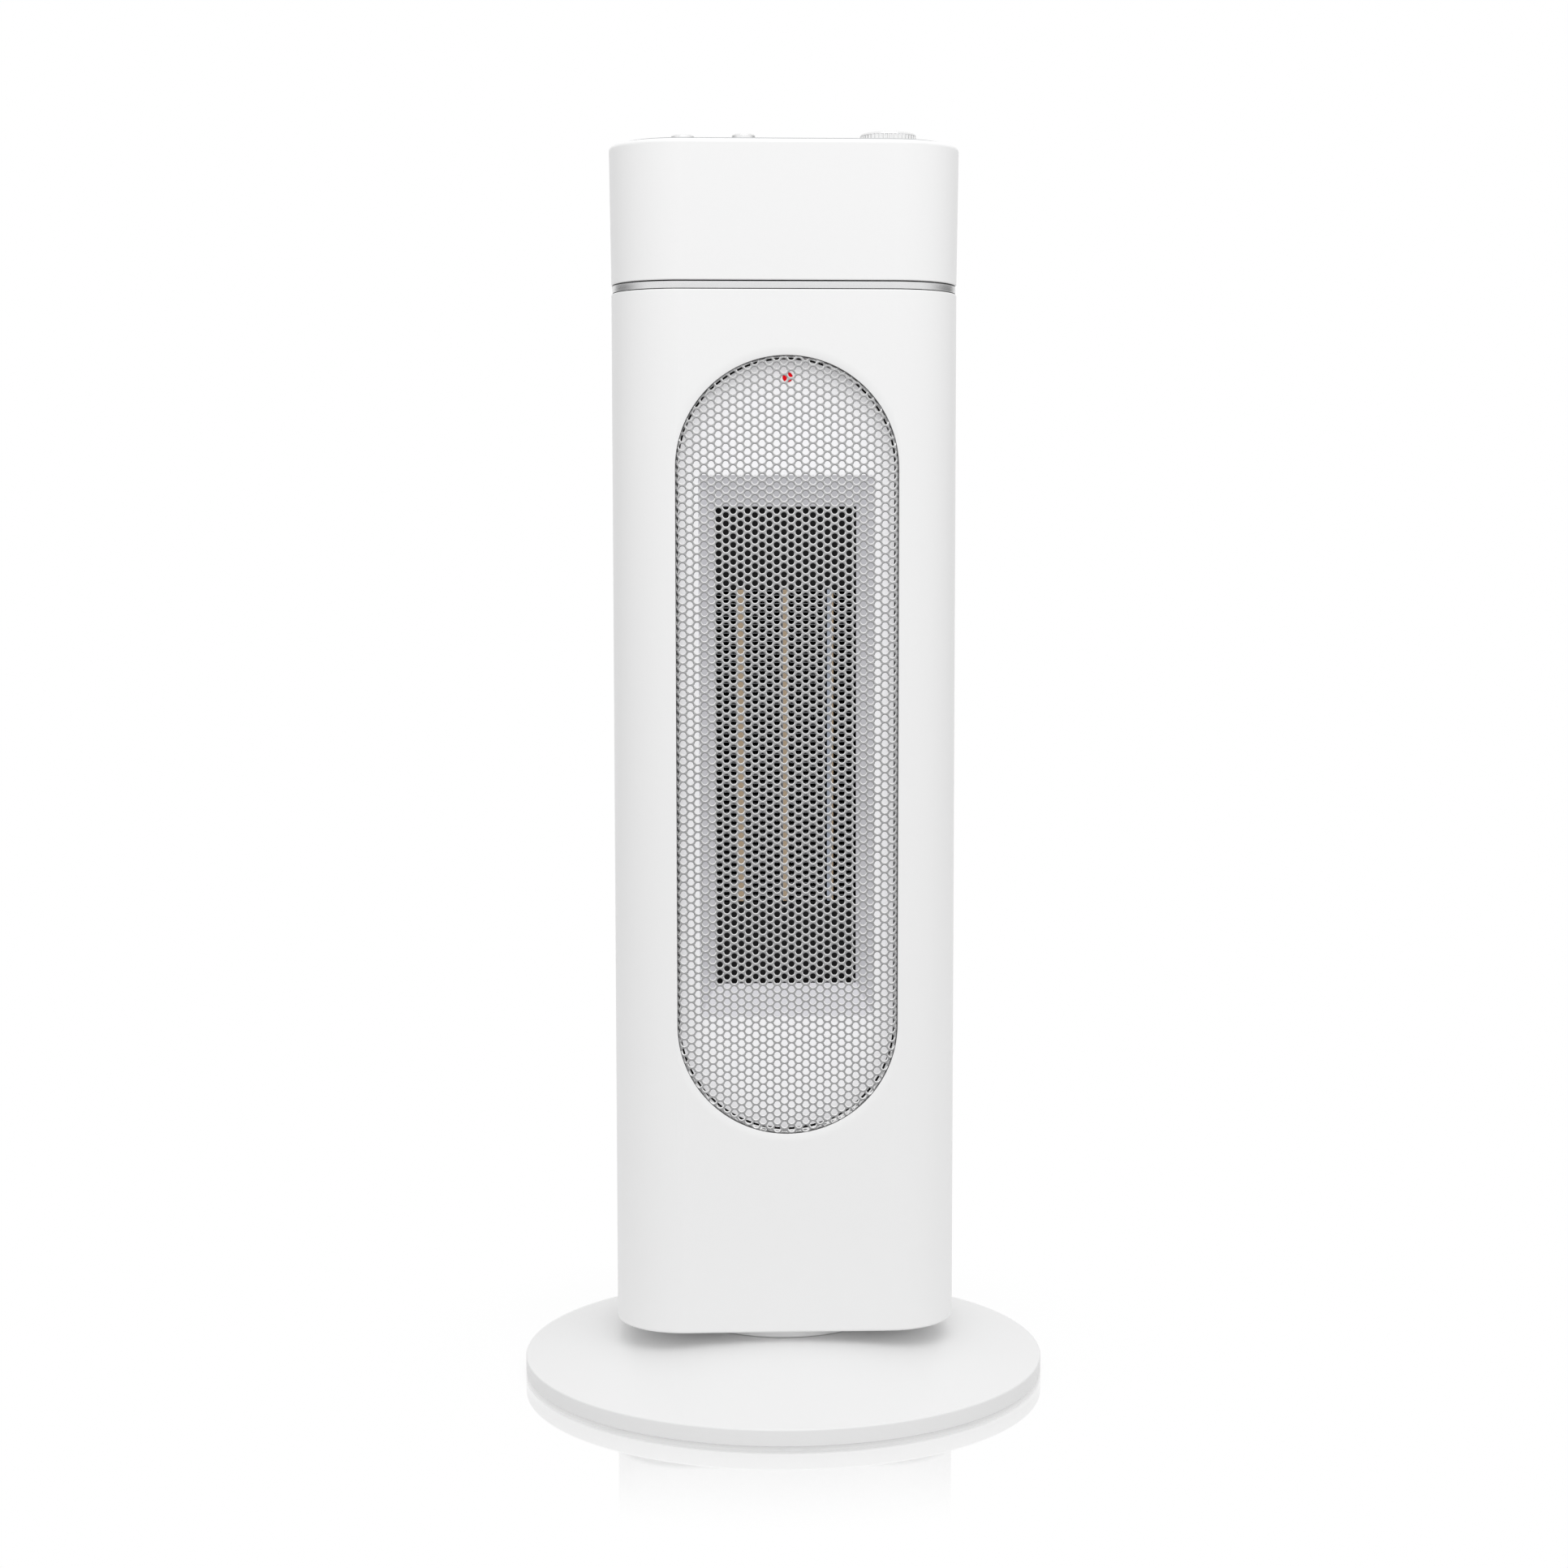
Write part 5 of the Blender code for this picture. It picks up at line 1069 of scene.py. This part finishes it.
makeBezel()
makeLamp()
makeBars()
for number in (1, 2, 3, 4):
    makeFinPack(number)
print("outlet and heating element made")


# Floor, light and camera

ground = dict(size=12, drop=0.0002, near=(0.126, 0.235), matt=0.97, bounce=0.69, shadow=0.16, gloss=0.04,
              ior=1.5, steep=3.3, clear=(0.128, 0.1325), mirror=(0.28, 0.5))


def makeFloor():
    deselectAll()
    bpy.ops.mesh.primitive_grid_add(x_subdivisions=8, y_subdivisions=8, size=ground["size"],
                                    location=(0, 0, -ground["drop"]))
    floor = bpy.context.object
    floor.name = "studioFloor"
    look = bpy.data.materials.new("studioFloorPaint")
    look.use_nodes = True
    tree = look.node_tree
    tree.nodes.remove(tree.nodes["Principled BSDF"])

    def plain(kind, level, *more):
        return addNode(tree, kind, [("Color", (level, level, level, 1)), *more]).outputs[0]

    place = addNode(tree, "TexCoord").outputs["Object"]
    away = addNode(tree, "VectorMath", [(0, place)], operation="LENGTH").outputs["Value"]
    near = remap(tree, away, *ground["near"], 1.0, 0.0, "SMOOTHSTEP")
    white = plain("Emission", 1, ("Strength", 1.0))
    matt, bounce = plain("BsdfDiffuse", ground["matt"]), plain("BsdfDiffuse", ground["bounce"])
    gloss = plain("BsdfAnisotropic", 1, ("Roughness", ground["gloss"]))
    # Seen from high up, and close to the base, the floor mirrors less
    facing = addNode(tree, "Fresnel", [("IOR", ground["ior"])]).outputs[0]
    clear = remap(tree, away, *ground["clear"], *ground["mirror"])
    mirror = calc(tree, "MINIMUM", calc(tree, "MULTIPLY", facing, ground["steep"]), clear)
    shaded = blend(tree, calc(tree, "MULTIPLY", near, ground["shadow"]), white, matt)
    shown = blend(tree, calc(tree, "MULTIPLY", near, mirror), shaded, gloss)
    both = blend(tree, seenDirectly(tree), bounce, shown)
    tree.links.new(both, tree.nodes["Material Output"].inputs["Surface"])
    floor.data.materials.append(look)


light = dict(world=0.855, key=6.6, keyPlace=(0.1, -0.85, 1.45), keyAim=(0, 0, 0.3), keySize=1.0,
             sideShade=0.7, before=(-0.6, 0.4), behind=(0.6, 0.95), above=(0.13, 0.24))


def makeLight():
    world = bpy.data.worlds.new("studio")
    bpy.context.scene.world = world
    world.use_nodes = True
    tree = world.node_tree
    backdrop = tree.nodes["Background"].inputs
    # What metal and gloss see is darker half behind each side, as with flags in a studio
    heading = addNode(tree, "TexCoord").outputs["Generated"]
    across = addNode(tree, "SeparateXYZ", [(0, heading)]).outputs
    dark = 1 - light["sideShade"]
    before = remap(tree, across["Y"], *light["before"], 1.0, dark, "SMOOTHSTEP")
    behind = remap(tree, across["Y"], *light["behind"], dark, 1.0, "SMOOTHSTEP")
    above = remap(tree, across["Z"], *light["above"], 0.0, 1.0, "SMOOTHSTEP")
    flags = calc(tree, "MAXIMUM", calc(tree, "MAXIMUM", before, behind), above)
    mirrored = addNode(tree, "LightPath").outputs["Is Glossy Ray"]
    strength = choose(tree, seenDirectly(tree), light["world"], choose(tree, mirrored, 1.0, flags))
    backdrop["Color"].default_value = (1, 1, 1, 1)
    tree.links.new(strength, backdrop["Strength"])
    lamp = bpy.data.lights.new("softbox", "AREA")
    lamp.shape = "SQUARE"
    lamp.size = light["keySize"]
    lamp.energy = light["key"]
    holder = bpy.data.objects.new("softbox", lamp)
    holder.location = light["keyPlace"]
    aim = Vector(light["keyAim"]) - holder.location
    holder.rotation_euler = aim.to_track_quat("-Z", "Y").to_euler()
    bpy.context.collection.objects.link(holder)


shot = dict(place=(-0.05624, -1.33028, 0.41057), towards=(0.042528, 0.995142, -0.088803), roll=-0.054,
            lens=62.518, sensor=36, nearest=0.02)


def makeCamera():
    data = bpy.data.cameras.new("photoCamera")
    data.sensor_width = shot["sensor"]
    data.lens = shot["lens"]
    data.clip_start = shot["nearest"]
    camera = bpy.data.objects.new("photoCamera", data)
    camera.location = shot["place"]
    aim = Vector(shot["towards"]).to_track_quat("-Z", "Y").to_matrix().to_4x4()
    camera.rotation_euler = aim.to_euler()
    camera.rotation_euler.rotate_axis("Z", radians(shot["roll"]))
    bpy.context.collection.objects.link(camera)
    bpy.context.scene.camera = camera


makeFloor()
makeLight()
makeCamera()
bpy.context.scene.view_settings.view_transform = "Standard"
print("studio set")
